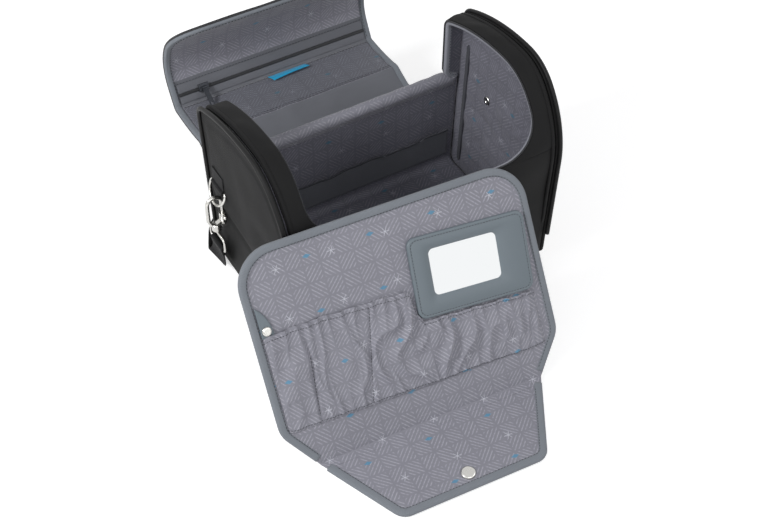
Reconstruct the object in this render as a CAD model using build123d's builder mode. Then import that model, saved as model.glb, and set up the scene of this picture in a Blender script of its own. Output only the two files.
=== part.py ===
"""Soft toiletry bag with a three-sided zip lid, shown open, and its pull-out organizer.

Millimetres, +Z up, +X to the bag's right as seen from the front, -Y to the front.
The origin is the centre of the base, on the surface that the bag stands on.
"""

import os
from math import cos, radians, sin

from build123d import *

os.makedirs("parts", exist_ok=True)

# Bag body
BAG_WIDTH = 330.0
BAG_DEPTH = 202.0
SIDE_LEAN = 1.7  # degrees that each side panel leans outwards when the lid is open
SHOULDER_Z = 219.0  # height where the straight back starts to bend over
WALL = 5.0
SHELL = 3.8  # outer layer of the wall, the lining is the rest
PIPING_R = 2.2
BASE_R = 14.0

# Side outline above the straight back: tangent arcs from back to front, radius and turn
SHOULDER_R, SHOULDER_TURN = 16.0, 65.0
CROWN_R, CROWN_TURN = 260.0, 26.0
BROW_R, BROW_TURN = 62.0, 46.0
CHIN_TURN = 180.0 - SHOULDER_TURN - CROWN_TURN - BROW_TURN

# Lid opening
OPENING_HALF = 141.0
OPENING_CORNER_R = 45.0
FOLD_Z = 138.0  # the lid hinges here on the back
FRONT_RIM_Z = 178.0
FLARE_R = 17.0  # the opening widens to the side panels beside the hinge
LID_GAP = 2.0
BINDING_WIDTH = 7.0
BINDING_DEPTH = 6.4
ZIP_WIDTH = 1.4
ZIP_DEPTHS = 0.6, 3.0
FOLD_GAP = 0.25
ZIP_FOOT = FOLD_Z + FLARE_R  # both halves of the zip end here, above the fold
EDGING_FOOT = FOLD_Z + 6.0  # the lid's binding starts here

# The lid's three stiff fields, parted at two stitched seams on the crown
SEAM_1_DIR = 70.5  # direction of the seam from the crown's centre, in degrees above +Y
SEAM_2_DIR = 85.0
LID_OPEN = 135.0  # turn of the lid about the fold, from closed to open
TOP_OPEN = 34.0  # further turn at the first seam
FRONT_CURL = 51.0  # turn back towards closed at the second seam

# Lid pocket and handle
SHEET = 0.8
POCKET_ZIP_DIRS = 85.8, 90.8
COIL_DIRS = 87.7, 88.8
COIL_HEIGHT = 1.2
SLIDER_X = -98.0
SLIDER_WIDTH, SLIDER_LENGTH = 9.6, 13.0
BRIDGE_R = 0.8
PULL_AXIS_HEIGHT = 4.2
PULL_EYE = 6.0
PULL_LENGTH = 30.0
PULL_LIFT = 33.0
LABEL_X, LABEL_WIDTH = 12.0, 52.0
LABEL_DIRS = 81.2, 84.7
HANDLE_HALF = 78.0
HANDLE_RISE = 25.0
HANDLE_BAND, HANDLE_THICK = 25.0, 3.0
PATCH_THICK = 2.0

# Inside of the body
BACK_POCKET_TOP = 60.0
SIDE_SEAMS_Y = 79.0, -60.0
SNAP_R = 5.5

# Strap hardware on each side panel
RING_Y = 66.0
RING_BAR_Z = 140.0
RING_BAR_OUT = 4.6
RING_WIRE_R = 1.5
RING_HALF = 17.5
RING_LEG = 5.0
RING_CORNER_R = 3.5
RING_TILT = 20.0
TAB_WIDTH = 27.0
TAB_TOP = 162.0
HOOK_REACH = 43.2  # from the swivel up to the ring's wire
HOOK_WIRE_R = 2.5
HOOK_BEND_R = 9.0
HOOK_BEND_Z = 41.0
HOOK_TIP = 36.2
COLLAR_R, COLLAR_HEIGHT, COLLAR_FLOOR = 5.6, 10.0, 2.2
POST_R, POST_HEAD_R = 1.8, 3.0
RUNNING_FIT = 0.08
BARREL_R = 4.2
BARREL_FOOT, BARREL_TOP = 9.0, 24.0
BOLT_R = 1.9
BOLT_TRAVEL = 8.0
KNOB_STEM_R, KNOB_R, KNOB_REACH = 1.1, 2.3, 6.8
EYE_HALF = 18.5
EYE_TOP, EYE_DROP = 3.4, 22.0
WEBBING = 28.0
WEB_THICK = 2.0

# Organizer, a flat padded panel with a fold-up flap, leaning on the bag's front
ORG_X, ORG_Y = -79.6, -245.2
ORG_YAW = -4.35
ORG_LEAN = 34.5
ORG_HEIGHT = 244.0
ORG_HALF = 167.0
ORG_THICK = 5.6
FLAP_THICK = 5.0
FLAP_TOP_Z = 5.3
FOLD_HALF = 135.5
TAPER_TOP = 44.0
FLAP_DEPTH = 97.0
FLAP_END_HALF = 86.0
ORG_CORNER_R = 43.0
ORG_BINDING = 9.0
BINDING_PROUD = 0.8
BINDING_FOOT = 6.0  # the binding stays this far from the fold line
POCKET_LEFT, POCKET_RIGHT = -157.0, 148.0
POCKET_GATHERS = 12
POCKET_CREST, POCKET_GAP = 2.6, 1.2
MIRROR_AT, MIRROR_TURN = (84.0, 151.0), -4.2
MIRROR_FRAME = 139.0, 90.0
FRAME_THICK = 4.5
GLASS_SIZE, GLASS_SHIFT = (80.0, 51.0), (-6.0, 2.5)
STUD_HEIGHT = 2.8

LEFT, RIGHT = -1, 1
HALF_W = BAG_WIDTH / 2
HALF_D = BAG_DEPTH / 2
BEYOND = 40.0  # how far cutting tools run past what they cut


def crown_centre():
    """Centre of the long arc over the top, as (y, z)."""
    turn = radians(SHOULDER_TURN)
    y = HALF_D - SHOULDER_R + (SHOULDER_R - CROWN_R) * cos(turn)
    z = SHOULDER_Z + (SHOULDER_R - CROWN_R) * sin(turn)
    return y, z


CROWN_Y, CROWN_Z = crown_centre()


def crown_point(direction, depth=0.0):
    """Point of the crown in a direction, so far below the outside, as (y, z)."""
    r = CROWN_R - depth
    return CROWN_Y + r * cos(radians(direction)), CROWN_Z + r * sin(radians(direction))


def chin_radius():
    """Radius of the last arc, so that the outline ends on the straight front."""
    start, end = radians(SHOULDER_TURN + CROWN_TURN), radians(180.0 - CHIN_TURN)
    y = crown_point(SHOULDER_TURN + CROWN_TURN)[0] - BROW_R * (cos(start) - cos(end))
    return (y + HALF_D) / (1 + cos(end))


CHIN_R = chin_radius()


def side_arcs(depth):
    """Draws the outline from the foot of the back over the top to the foot of the front."""
    back = Line((HALF_D - depth, BASE_R), (HALF_D - depth, SHOULDER_Z))
    shoulder = JernArc(back @ 1, back % 1, SHOULDER_R - depth, SHOULDER_TURN)
    crown = JernArc(shoulder @ 1, shoulder % 1, CROWN_R - depth, CROWN_TURN)
    brow = JernArc(crown @ 1, crown % 1, BROW_R - depth, BROW_TURN)
    chin = JernArc(brow @ 1, brow % 1, CHIN_R - depth, CHIN_TURN)
    Line(chin @ 1, (depth - HALF_D, BASE_R))


def side_face(depth):
    """The bag's closed side outline, so far below its outside."""
    with BuildSketch() as face:
        with BuildLine():
            side_arcs(depth)
            front = JernArc((depth - HALF_D, BASE_R), (0, -1), BASE_R - depth, 90)
            base = Line(front @ 1, (HALF_D - BASE_R, depth))
            JernArc(base @ 1, (1, 0), BASE_R - depth, 90)
        make_face()
    return face.sketch


def side_plane(side, depth=0.0):
    """Plane of a side panel, side is -1 for left and 1 for right, so far below its outside."""
    lean = radians(SIDE_LEAN)
    outside = Plane((side * HALF_W, 0, 0), x_dir=(0, 1, 0), z_dir=(cos(lean), 0, -side * sin(lean)))
    return outside.offset(-side * depth)


def wall(outer, inner):
    """One layer of the wall right round between the side panels, between two depths."""
    with BuildPart() as layer:
        with BuildSketch(Plane.YZ):
            add(side_face(outer))
            add(side_face(inner), mode=Mode.SUBTRACT)
        extrude(amount=HALF_W + BEYOND, both=True)
        split(bisect_by=side_plane(LEFT, WALL), keep=Keep.TOP)
        split(bisect_by=side_plane(RIGHT, WALL), keep=Keep.BOTTOM)
    return layer.part


def opening(margin):
    """Everything inside the lid's opening, moved outwards by a margin."""
    half = OPENING_HALF + margin
    height = 2 * SHOULDER_Z - FOLD_Z
    low_middle = Align.CENTER, Align.MIN
    with BuildPart() as space:
        with BuildSketch(Plane.XZ) as front:
            with Locations((0, FRONT_RIM_Z - margin)):
                Rectangle(2 * half, height, align=low_middle)
            fillet(front.vertices().group_by(Axis.Y)[0], OPENING_CORNER_R + margin)
        extrude(amount=HALF_D + BEYOND)
        with BuildSketch(Plane.XZ):
            with Locations((0, FOLD_Z)):
                Rectangle(2 * half, height, align=low_middle)
                Rectangle(2 * (OPENING_HALF + FLARE_R), FLARE_R, align=low_middle)
            with Locations(*[(s * (OPENING_HALF + FLARE_R), FOLD_Z + FLARE_R) for s in (-1, 1)]):
                Circle(FLARE_R - margin, mode=Mode.SUBTRACT)
        extrude(amount=-(HALF_D + BEYOND))
    return space.part


def region(x, y, z):
    """A box between two values of x, of y and of z."""
    with BuildPart() as block:
        with Locations((x[0], y[0], z[0])):
            Box(x[1] - x[0], y[1] - y[0], z[1] - z[0], align=(Align.MIN, Align.MIN, Align.MIN))
    return block.part


FULL_X = -HALF_W - BEYOND, HALF_W + BEYOND
FLOOR_Y = HALF_D - BASE_R
BELOW, ABOVE = -1.0, 2 * SHOULDER_Z
FRONT_SEAM_Z = FRONT_RIM_Z - LID_GAP

floor_space = region(FULL_X, (-FLOOR_Y, FLOOR_Y), (BELOW, BASE_R))
front_space = region(FULL_X, (-HALF_D - BEYOND, -FLOOR_Y), (BELOW, FRONT_SEAM_Z))
back_space = region(FULL_X, (FLOOR_Y, HALF_D + BEYOND), (BELOW, FOLD_Z - FOLD_GAP))
upper_front_space = region(FULL_X, (-HALF_D - BEYOND, 0), (FRONT_SEAM_Z, ABOVE))
upper_back_space = region(FULL_X, (0, HALF_D + BEYOND), (FOLD_Z, ABOVE))


def save(solid, label):
    """Labels a finished piece and writes it."""
    solid.label = label
    export_step(solid, f"parts/{label}.step")


def save_pair(solid, label):
    """Writes a piece of the left side and its mirror image on the right."""
    save(solid, f"left_{label}")
    save(solid.mirror(Plane.YZ), f"right_{label}")


# Shell and lining of the body, each sewn from a floor, a front and a back
for name, depths in (("panel", (0, SHELL)), ("lining", (SHELL, WALL))):
    for place, space in (("bottom", floor_space), ("front", front_space), ("back", back_space)):
        with BuildPart() as body_piece:
            add(wall(*depths))
            add(space, mode=Mode.INTERSECT)
        save(body_piece.part, f"{place}_{name}")

# Left side panel, its lining, its piping and the strip that joins it to the opening
for name, depths in (("side_panel", (0, SHELL)), ("side_lining", (SHELL, WALL))):
    with BuildPart() as side_piece:
        with BuildSketch(side_plane(LEFT, depths[0])):
            add(side_face(0))
        extrude(amount=depths[1] - depths[0])
    save_pair(side_piece.part, name)

outside_edge = PIPING_R * sin(radians(45))
with BuildPart() as piping:
    with BuildLine(side_plane(LEFT, -outside_edge)) as edge:
        side_arcs(-outside_edge)
    with BuildSketch(Plane(edge.wire() @ 0, z_dir=edge.wire() % 0)):
        Circle(PIPING_R)
    sweep()
save_pair(piping.part, "piping")

with BuildPart() as strip:
    add(wall(0, WALL))
    add(upper_front_space + upper_back_space, mode=Mode.INTERSECT)
    add(opening(LID_GAP), mode=Mode.SUBTRACT)
    split(bisect_by=Plane.YZ, keep=Keep.BOTTOM)
save_pair(strip.part, "rim_strip")

# Grey binding and the body's half of the zip round the opening
with BuildPart() as rim_binding:
    add(wall(WALL, BINDING_DEPTH))
    add(opening(LID_GAP + BINDING_WIDTH), mode=Mode.INTERSECT)
    add(opening(LID_GAP), mode=Mode.SUBTRACT)
save(rim_binding.part, "rim_binding")

with BuildPart() as rim_zip:
    add(wall(*ZIP_DEPTHS))
    add(opening(LID_GAP), mode=Mode.INTERSECT)
    add(opening(LID_GAP - ZIP_WIDTH), mode=Mode.SUBTRACT)
    add(region(FULL_X, (0, HALF_D + BEYOND), (BELOW, ZIP_FOOT)), mode=Mode.SUBTRACT)
save(rim_zip.part, "rim_zip")

# Pocket on the inside of the back, seam bindings and press studs on the side linings
with BuildPart() as back_pocket:
    add(wall(WALL, WALL + 1))
    add(region((-152, 152), (FLOOR_Y, HALF_D), (BASE_R + 4, BACK_POCKET_TOP)), mode=Mode.INTERSECT)
save(back_pocket.part, "back_pocket")

with BuildPart() as seam_bindings:
    for side in (LEFT, RIGHT):
        with BuildSketch(side_plane(side, WALL)):
            with Locations(*[(y, 106) for y in SIDE_SEAMS_Y]):
                SlotOverall(184, 5.5, rotation=90)
        extrude(amount=-side * 1.6)
save(seam_bindings.part, "seam_bindings")

with BuildPart() as side_snaps:
    for side in (LEFT, RIGHT):
        with BuildSketch(side_plane(side, WALL)):
            with Locations((33, 145)):
                Circle(SNAP_R)
                Circle(2.2, mode=Mode.SUBTRACT)
        extrude(amount=-side * 2)
    chamfer(side_snaps.edges().filter_by(GeomType.CIRCLE), 0.5)
save(side_snaps.part, "side_snaps")


# Lid, drawn closed and then unrolled to the open pose
HINGE = HALF_D, FOLD_Z
SEAM_1 = crown_point(SEAM_1_DIR)
SEAM_2 = crown_point(SEAM_2_DIR, BINDING_DEPTH + 0.2)


def x_axis_at(point):
    """Axis along X through a point given as (y, z)."""
    return Axis((0, point[0], point[1]), (1, 0, 0))


def opened(solid, field):
    """A solid of the closed lid, turned with its field to where it lies when open."""
    if field == "front":
        solid = solid.rotate(x_axis_at(SEAM_2), FRONT_CURL)
    if field != "back":
        solid = solid.rotate(x_axis_at(SEAM_1), -TOP_OPEN)
    return solid.rotate(x_axis_at(HINGE), -LID_OPEN)


def across_crown(direction, depth=0.0):
    """Plane across the crown: x along the bag, y outwards and z forwards."""
    y, z = crown_point(direction, depth)
    forward = 0, -sin(radians(direction)), cos(radians(direction))
    return Plane((0, y, z), x_dir=(1, 0, 0), z_dir=forward)


def lid_layer(outer, inner, field, outer_margin, inner_margin=None, foot=FOLD_Z + FOLD_GAP):
    """One layer of one field of the closed lid, as a sheet or as a ring along its edge."""
    with BuildPart() as layer:
        add(wall(outer, inner))
        add(opening(outer_margin), mode=Mode.INTERSECT)
        if inner_margin is not None:
            add(opening(inner_margin), mode=Mode.SUBTRACT)
        if field == "back":
            split(bisect_by=Plane.XY.offset(foot), keep=Keep.TOP)
        if field != "front":
            end = SEAM_1_DIR if field == "back" else SEAM_2_DIR
            split(bisect_by=across_crown(end).offset(-FOLD_GAP), keep=Keep.BOTTOM)
        if field != "back":
            start = SEAM_1_DIR if field == "top" else SEAM_2_DIR
            split(bisect_by=across_crown(start).offset(FOLD_GAP), keep=Keep.TOP)
    return layer.part


lid_edge = -LID_GAP
binding_edge = lid_edge - BINDING_WIDTH
for field in ("back", "top", "front"):
    shell = lid_layer(0, SHELL, field, lid_edge)
    save(opened(shell, field), f"lid_{field}_shell")
    lining = lid_layer(SHELL, WALL, field, lid_edge)
    save(opened(lining, field), f"lid_{field}_lining")
    binding = lid_layer(WALL, BINDING_DEPTH, field, lid_edge, binding_edge, EDGING_FOOT)
    save(opened(binding, field), f"lid_{field}_binding")
    coil = lid_layer(*ZIP_DEPTHS, field, lid_edge + ZIP_WIDTH, lid_edge, ZIP_FOOT)
    save(opened(coil, field), f"lid_{field}_zip")

mesh = lid_layer(WALL, WALL + SHEET, "top", binding_edge)
save(opened(mesh, "top"), "mesh_pocket")


def crown_strip(outer, inner, field, directions):
    """Part of a lid layer between two directions from the crown's centre."""
    with BuildPart() as part:
        add(lid_layer(outer, inner, field, binding_edge))
        split(bisect_by=across_crown(directions[0]), keep=Keep.TOP)
        split(bisect_by=across_crown(directions[1]), keep=Keep.BOTTOM)
    return part.part


# Zip of the lid's pocket, its slider and its pull
COIL_TOP = WALL + SHEET + COIL_HEIGHT
with BuildPart() as pocket_zip:
    add(crown_strip(WALL, WALL + SHEET, "front", POCKET_ZIP_DIRS))
    add(crown_strip(WALL + SHEET, COIL_TOP, "front", COIL_DIRS))
save(opened(pocket_zip.part, "front"), "pocket_zip")

coil_dir = sum(COIL_DIRS) / 2
coil_y, coil_z = crown_point(coil_dir, COIL_TOP)
slider_plane = Plane((SLIDER_X, coil_y, coil_z), x_dir=across_crown(coil_dir).z_dir, z_dir=(1, 0, 0))

with BuildPart() as pocket_slider:
    with BuildSketch(slider_plane):
        with Locations((0, 0.7)):
            RectangleRounded(SLIDER_WIDTH, 3.2, 0.6)
        with Locations((0, -0.5)):
            Rectangle(SLIDER_WIDTH - 2.6, 1.6, mode=Mode.SUBTRACT)
    extrude(amount=SLIDER_LENGTH / 2, both=True)
    with BuildSketch(slider_plane.offset(PULL_EYE / 2 + 0.4)) as leg:
        with Locations((0, 3.5)):
            RectangleRounded(2.6, 3.8, 1)
    extrude(amount=1.2)
    with BuildSketch(slider_plane.offset(-PULL_EYE / 2 - 1.6)):
        with Locations((0, 3.5)):
            RectangleRounded(2.6, 3.8, 1)
    extrude(amount=1.2)
    with BuildSketch(slider_plane):
        with Locations((0, PULL_AXIS_HEIGHT)):
            Circle(BRIDGE_R)
    extrude(amount=PULL_EYE / 2 + 1, both=True)
save(opened(pocket_slider.part, "front"), "pocket_slider")

pull_plane = Plane(slider_plane.location * Pos(0, PULL_AXIS_HEIGHT, 0) * Rot(0, 0, -PULL_LIFT))
with BuildPart() as slider_pull:
    with BuildSketch(pull_plane):
        Circle(BRIDGE_R + 0.9)
        with Locations((-PULL_LENGTH / 2, 0)):
            RectangleRounded(PULL_LENGTH, 1.4, 0.5)
        Circle(BRIDGE_R + 0.12, mode=Mode.SUBTRACT)
    extrude(amount=PULL_EYE / 2, both=True)
    with BuildSketch(Plane(pull_plane.origin, x_dir=-pull_plane.x_dir, z_dir=pull_plane.y_dir)):
        with Locations((PULL_LENGTH - 6, 0)):
            SlotOverall(7, 3)
    extrude(amount=5, both=True, mode=Mode.SUBTRACT)
save(opened(slider_pull.part, "front"), "slider_pull")

# Blank ribbon label on the mesh pocket
with BuildPart() as label:
    add(crown_strip(WALL + SHEET, WALL + 2 * SHEET, "top", LABEL_DIRS))
    half = LABEL_WIDTH / 2
    add(region((LABEL_X - half, LABEL_X + half), (-HALF_D, HALF_D), (0, ABOVE)), mode=Mode.INTERSECT)
save(opened(label.part, "top"), "label")

# Carry handle on the outside of the lid, with its two sewn-on patches
handle_plane = across_crown((SEAM_1_DIR + SEAM_2_DIR) / 2)
with BuildPart() as lid_handle:
    with BuildLine(handle_plane) as grip:
        flat, rise = PATCH_THICK + HANDLE_THICK / 2, HANDLE_RISE
        FilletPolyline(
            (-HANDLE_HALF, flat), (18 - HANDLE_HALF, flat), (38 - HANDLE_HALF, rise),
            (HANDLE_HALF - 38, rise), (HANDLE_HALF - 18, flat), (HANDLE_HALF, flat), radius=11,
        )
    with BuildSketch(Plane(grip.wire() @ 0, x_dir=handle_plane.z_dir, z_dir=grip.wire() % 0)):
        RectangleRounded(HANDLE_BAND, HANDLE_THICK, 1.2)
    sweep()
save(opened(lid_handle.part, "top"), "lid_handle")

with BuildPart() as handle_patches:
    with BuildSketch(Plane(handle_plane.origin, x_dir=(1, 0, 0), z_dir=handle_plane.y_dir)):
        with Locations((9 - HANDLE_HALF, 0), (HANDLE_HALF - 9, 0)):
            RectangleRounded(34, HANDLE_BAND + 8, 3)
    extrude(amount=PATCH_THICK)
save(opened(handle_patches.part, "top"), "handle_patches")


# Strap hardware, drawn on the left side: x outwards, y up and z to the back
tab_plane = Plane(side_plane(LEFT).from_local_coords(Vector(RING_Y, RING_BAR_Z, 0)),
                  x_dir=-side_plane(LEFT).z_dir, z_dir=(0, 1, 0))
with BuildPart() as ring_tab:
    with BuildSketch(tab_plane):
        with Locations((RING_BAR_OUT, 0)):
            Circle(RING_BAR_OUT - 0.2)
        with Locations((0, TAB_TOP - RING_BAR_Z)):
            Rectangle(4.4, 14, align=(Align.MIN, Align.MAX))
        make_hull()
        with Locations((RING_BAR_OUT, 0)):
            Circle(RING_WIRE_R + 0.25, mode=Mode.SUBTRACT)
    extrude(amount=TAB_WIDTH / 2, both=True)
save_pair(ring_tab.part, "ring_tab")

bar = tab_plane.from_local_coords(Vector(RING_BAR_OUT, 0, 0))
tilt = radians(RING_TILT)
hang = Vector(-sin(tilt), 0, -cos(tilt))
with BuildPart() as d_ring:
    with BuildLine(Plane(bar, x_dir=(0, 1, 0), z_dir=Vector(0, 1, 0).cross(hang))) as loop:
        straight = RING_HALF - RING_CORNER_R
        top = Line((-straight, 0), (straight, 0))
        corner = JernArc(top @ 1, (1, 0), RING_CORNER_R, 90)
        leg = Line(corner @ 1, (RING_HALF, RING_LEG))
        bow = JernArc(leg @ 1, (0, 1), RING_HALF, 180)
        back_leg = Line(bow @ 1, (-RING_HALF, RING_CORNER_R))
        JernArc(back_leg @ 1, (0, -1), RING_CORNER_R, 90)
    with BuildSketch(Plane(loop.wire() @ 0, z_dir=loop.wire() % 0)):
        Circle(RING_WIRE_R)
    sweep()
save_pair(d_ring.part, "d_ring")

# Swivel snap hook: a collar turning on the eye's post, a bent arm and a barrel for the bolt
swivel = bar + hang * (RING_LEG + RING_HALF) - Vector(0, 0, HOOK_REACH)
hook_plane = Plane(swivel, x_dir=(-1, 0, 0), z_dir=(0, 1, 0))
swivel_axis = Axis(swivel, (0, 0, 1))
low_left = Align.MIN, Align.MIN
with BuildPart() as hook:
    with BuildSketch(hook_plane):
        Rectangle(COLLAR_R, COLLAR_HEIGHT, align=low_left)
    revolve(axis=swivel_axis)
    chamfer(hook.edges().filter_by(GeomType.CIRCLE), 0.8)
    with BuildSketch(hook_plane):
        with Locations((-HOOK_BEND_R, BARREL_FOOT + 2)):
            Circle(BARREL_R - 0.8)
        with Locations((0, COLLAR_HEIGHT / 2)):
            Circle(COLLAR_R - 1)
        make_hull()
    extrude(amount=2.6, both=True)
    with BuildLine(hook_plane) as arm:
        spine = FilletPolyline((2.5, 5), (HOOK_BEND_R, 17), (HOOK_BEND_R, HOOK_BEND_Z), radius=12)
        bend = JernArc(spine @ 1, (0, 1), HOOK_BEND_R, 180)
        Line(bend @ 1, (-HOOK_BEND_R, HOOK_TIP))
    with BuildSketch(Plane(arm.wire() @ 0, z_dir=arm.wire() % 0)):
        Circle(HOOK_WIRE_R)
    sweep()
    barrel_base = Plane(hook_plane.from_local_coords(Vector(-HOOK_BEND_R, BARREL_FOOT, 0)))
    with BuildSketch(barrel_base):
        Circle(BARREL_R)
    extrude(amount=BARREL_TOP - BARREL_FOOT)
    with BuildSketch(barrel_base.offset(1)):
        Circle(BOLT_R + RUNNING_FIT)
    extrude(amount=BARREL_TOP - BARREL_FOOT, mode=Mode.SUBTRACT)
    with BuildSketch(barrel_base.offset(1.5)):
        Rectangle(2 * KNOB_STEM_R + 0.4, 2 * BARREL_R, align=(Align.CENTER, Align.MAX))
    extrude(amount=BARREL_TOP - BARREL_FOOT, mode=Mode.SUBTRACT)
    with BuildSketch(hook_plane):
        Rectangle(POST_R + RUNNING_FIT, COLLAR_FLOOR, align=low_left)
        with Locations((0, COLLAR_FLOOR)):
            Rectangle(POST_HEAD_R + 0.2, 4.6, align=low_left)
    revolve(axis=swivel_axis, mode=Mode.SUBTRACT)
save_pair(hook.part, "hook")

bolt_foot = BARREL_FOOT + 1.3 + BOLT_TRAVEL
with BuildPart() as hook_bolt:
    with BuildSketch(barrel_base.offset(bolt_foot - BARREL_FOOT)):
        Circle(BOLT_R)
    extrude(amount=HOOK_TIP - 0.2 - bolt_foot)
    with BuildSketch(hook_plane):
        with Locations((-HOOK_BEND_R, bolt_foot + KNOB_STEM_R + 0.6)):
            Circle(KNOB_STEM_R)
    extrude(amount=-KNOB_REACH)
    with Locations(hook_plane.from_local_coords(
            Vector(-HOOK_BEND_R, bolt_foot + KNOB_STEM_R + 0.6, -KNOB_REACH))):
        Sphere(KNOB_R)
save_pair(hook_bolt.part, "hook_bolt")

# Eye of the strap: a wire loop for the webbing under the post that the hook turns on
eye_plane = Plane(swivel, x_dir=(0, 1, 0), z_dir=(1, 0, 0))
with BuildPart() as strap_eye:
    with BuildLine(eye_plane) as wire_loop:
        FilletPolyline(
            (-EYE_HALF, -EYE_TOP), (EYE_HALF, -EYE_TOP), (EYE_HALF, -EYE_DROP),
            (-EYE_HALF, -EYE_DROP), radius=4, close=True,
        )
    with BuildSketch(Plane(wire_loop.wire() @ 0, z_dir=wire_loop.wire() % 0)):
        Circle(RING_WIRE_R)
    sweep()
    with BuildSketch(hook_plane):
        with Locations((0, -EYE_TOP)):
            Rectangle(POST_R, EYE_TOP + COLLAR_FLOOR + 0.6, align=low_left)
        with Locations((0, COLLAR_FLOOR + 0.4)):
            Rectangle(POST_HEAD_R, 2.4, align=low_left)
    revolve(axis=swivel_axis)
save_pair(strap_eye.part, "strap_eye")

# Shoulder strap: a sewn loop round each eye, then webbing that twists onto its edge and
# lies on the floor behind the bag. Each station is a place and the direction across the band.
eye_bar = swivel - Vector(0, 0, EYE_DROP)
loop_foot = eye_bar - Vector(0, 0, 9)
stations = (
    (loop_foot, (0, 1, 0)),
    (Vector(-181, 70, 28), (-0.15, 0.95, 0.15)),
    (Vector(-180, 80, 17.5), (-0.35, 0.55, 0.6)),
    (Vector(-176, 96, 15), (-0.3, 0.2, 0.9)),
    (Vector(-167, 119, 14.8), (-0.1, 0, 1)),
    (Vector(-148, 137, 14.6), (0, 0, 1)),
    (Vector(-118, 147, 14.4), (0, 0, 1)),
    (Vector(-70, 150, 14.4), (0, 0, 1)),
    (Vector(0, 150, 14.4), (0, 0, 1)),
)
places = [place for place, _ in stations]
around = [eye_bar, *places, places[-1] + Vector(20, 0, 0)]
with BuildPart() as half_strap:
    with BuildSketch(Plane(eye_bar, x_dir=(-1, 0, 0), z_dir=(0, 1, 0))):
        Circle(RING_WIRE_R + 0.1 + WEB_THICK)
        with Locations((0, -9)):
            Rectangle(WEB_THICK, 1, align=(Align.CENTER, Align.MIN))
        make_hull()
        Circle(RING_WIRE_R + 0.1, mode=Mode.SUBTRACT)
    extrude(amount=WEBBING / 2, both=True)
    for (place, across), before, after in zip(stations, around, around[2:]):
        with BuildSketch(Plane(place, x_dir=across, z_dir=after - before)):
            Rectangle(WEBBING, WEB_THICK)
    loft(ruled=True)
with BuildPart() as shoulder_strap:
    add(half_strap.part)
    add(half_strap.part.mirror(Plane.YZ))
save(shoulder_strap.part, "shoulder_strap")


# Organizer: x along its fold line, y up the panel and z out of its printed face
lean, yaw = radians(ORG_LEAN), radians(ORG_YAW)
fold_dir = Vector(cos(yaw), sin(yaw), 0)
ahead = Vector(sin(yaw), -cos(yaw), 0)
org_plane = Plane((ORG_X, ORG_Y, FLAP_TOP_Z), x_dir=fold_dir,
                  z_dir=ahead * cos(lean) + Vector(0, 0, sin(lean)))
flap_plane = Plane((ORG_X, ORG_Y, FLAP_TOP_Z), x_dir=fold_dir, z_dir=(0, 0, 1))


def organizer_face(inset, foot):
    """Outline of the standing panel, drawn in from its edge, above a height over the fold."""
    spread = (ORG_HALF - FOLD_HALF) / TAPER_TOP
    with BuildSketch() as face:
        with BuildLine():
            Polyline((-FOLD_HALF + 20 * spread, -20), (-ORG_HALF, TAPER_TOP), (-ORG_HALF, ORG_HEIGHT),
                     (ORG_HALF, ORG_HEIGHT), (ORG_HALF, TAPER_TOP), (FOLD_HALF - 20 * spread, -20),
                     close=True)
        make_face()
        fillet(face.vertices().group_by(Axis.Y)[-1], ORG_CORNER_R)
        fillet(face.vertices().group_by(Axis.Y)[1], 30)
        offset(amount=-inset)
        with Locations((0, foot)):
            Rectangle(3 * ORG_HALF, 2 * ORG_HEIGHT, align=(Align.CENTER, Align.MIN), mode=Mode.INTERSECT)
    return face.sketch


def flap_face(inset, foot):
    """Outline of the flap, drawn in from its edge, beyond a distance from the fold."""
    spread = (FOLD_HALF - FLAP_END_HALF) / FLAP_DEPTH
    with BuildSketch() as face:
        with BuildLine():
            Polyline((-FOLD_HALF - 20 * spread, 20), (-FLAP_END_HALF, -FLAP_DEPTH),
                     (FLAP_END_HALF, -FLAP_DEPTH), (FOLD_HALF + 20 * spread, 20), close=True)
        make_face()
        fillet(face.vertices().group_by(Axis.Y)[0], 18)
        offset(amount=-inset)
        with Locations((0, -foot)):
            Rectangle(3 * ORG_HALF, 2 * FLAP_DEPTH, align=(Align.CENTER, Align.MAX), mode=Mode.INTERSECT)
    return face.sketch


for name, plane, outline, thick in (
        ("organizer", org_plane, organizer_face, ORG_THICK),
        ("flap", flap_plane, flap_face, FLAP_THICK)):
    with BuildPart() as padded:
        with BuildSketch(plane):
            add(outline(1.5, FOLD_GAP))
        extrude(amount=-thick)
    save(padded.part, f"{name}_panel")

    with BuildPart() as edging:
        with BuildSketch(plane.offset(BINDING_PROUD)):
            add(outline(0, BINDING_FOOT))
            add(outline(ORG_BINDING, 0), mode=Mode.SUBTRACT)
        extrude(amount=-thick - BINDING_PROUD)
        add(padded.part, mode=Mode.SUBTRACT)
    save(edging.part, f"{name}_binding")


def ripple(height, level):
    """Wavy line across the gathered pocket, its crests so high and all of it raised."""
    step = (POCKET_RIGHT - POCKET_LEFT) / (2 * POCKET_GATHERS)
    waves = range(2 * POCKET_GATHERS + 1)
    return [(POCKET_LEFT + i * step, level + (height if i % 2 else 0)) for i in waves]


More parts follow.
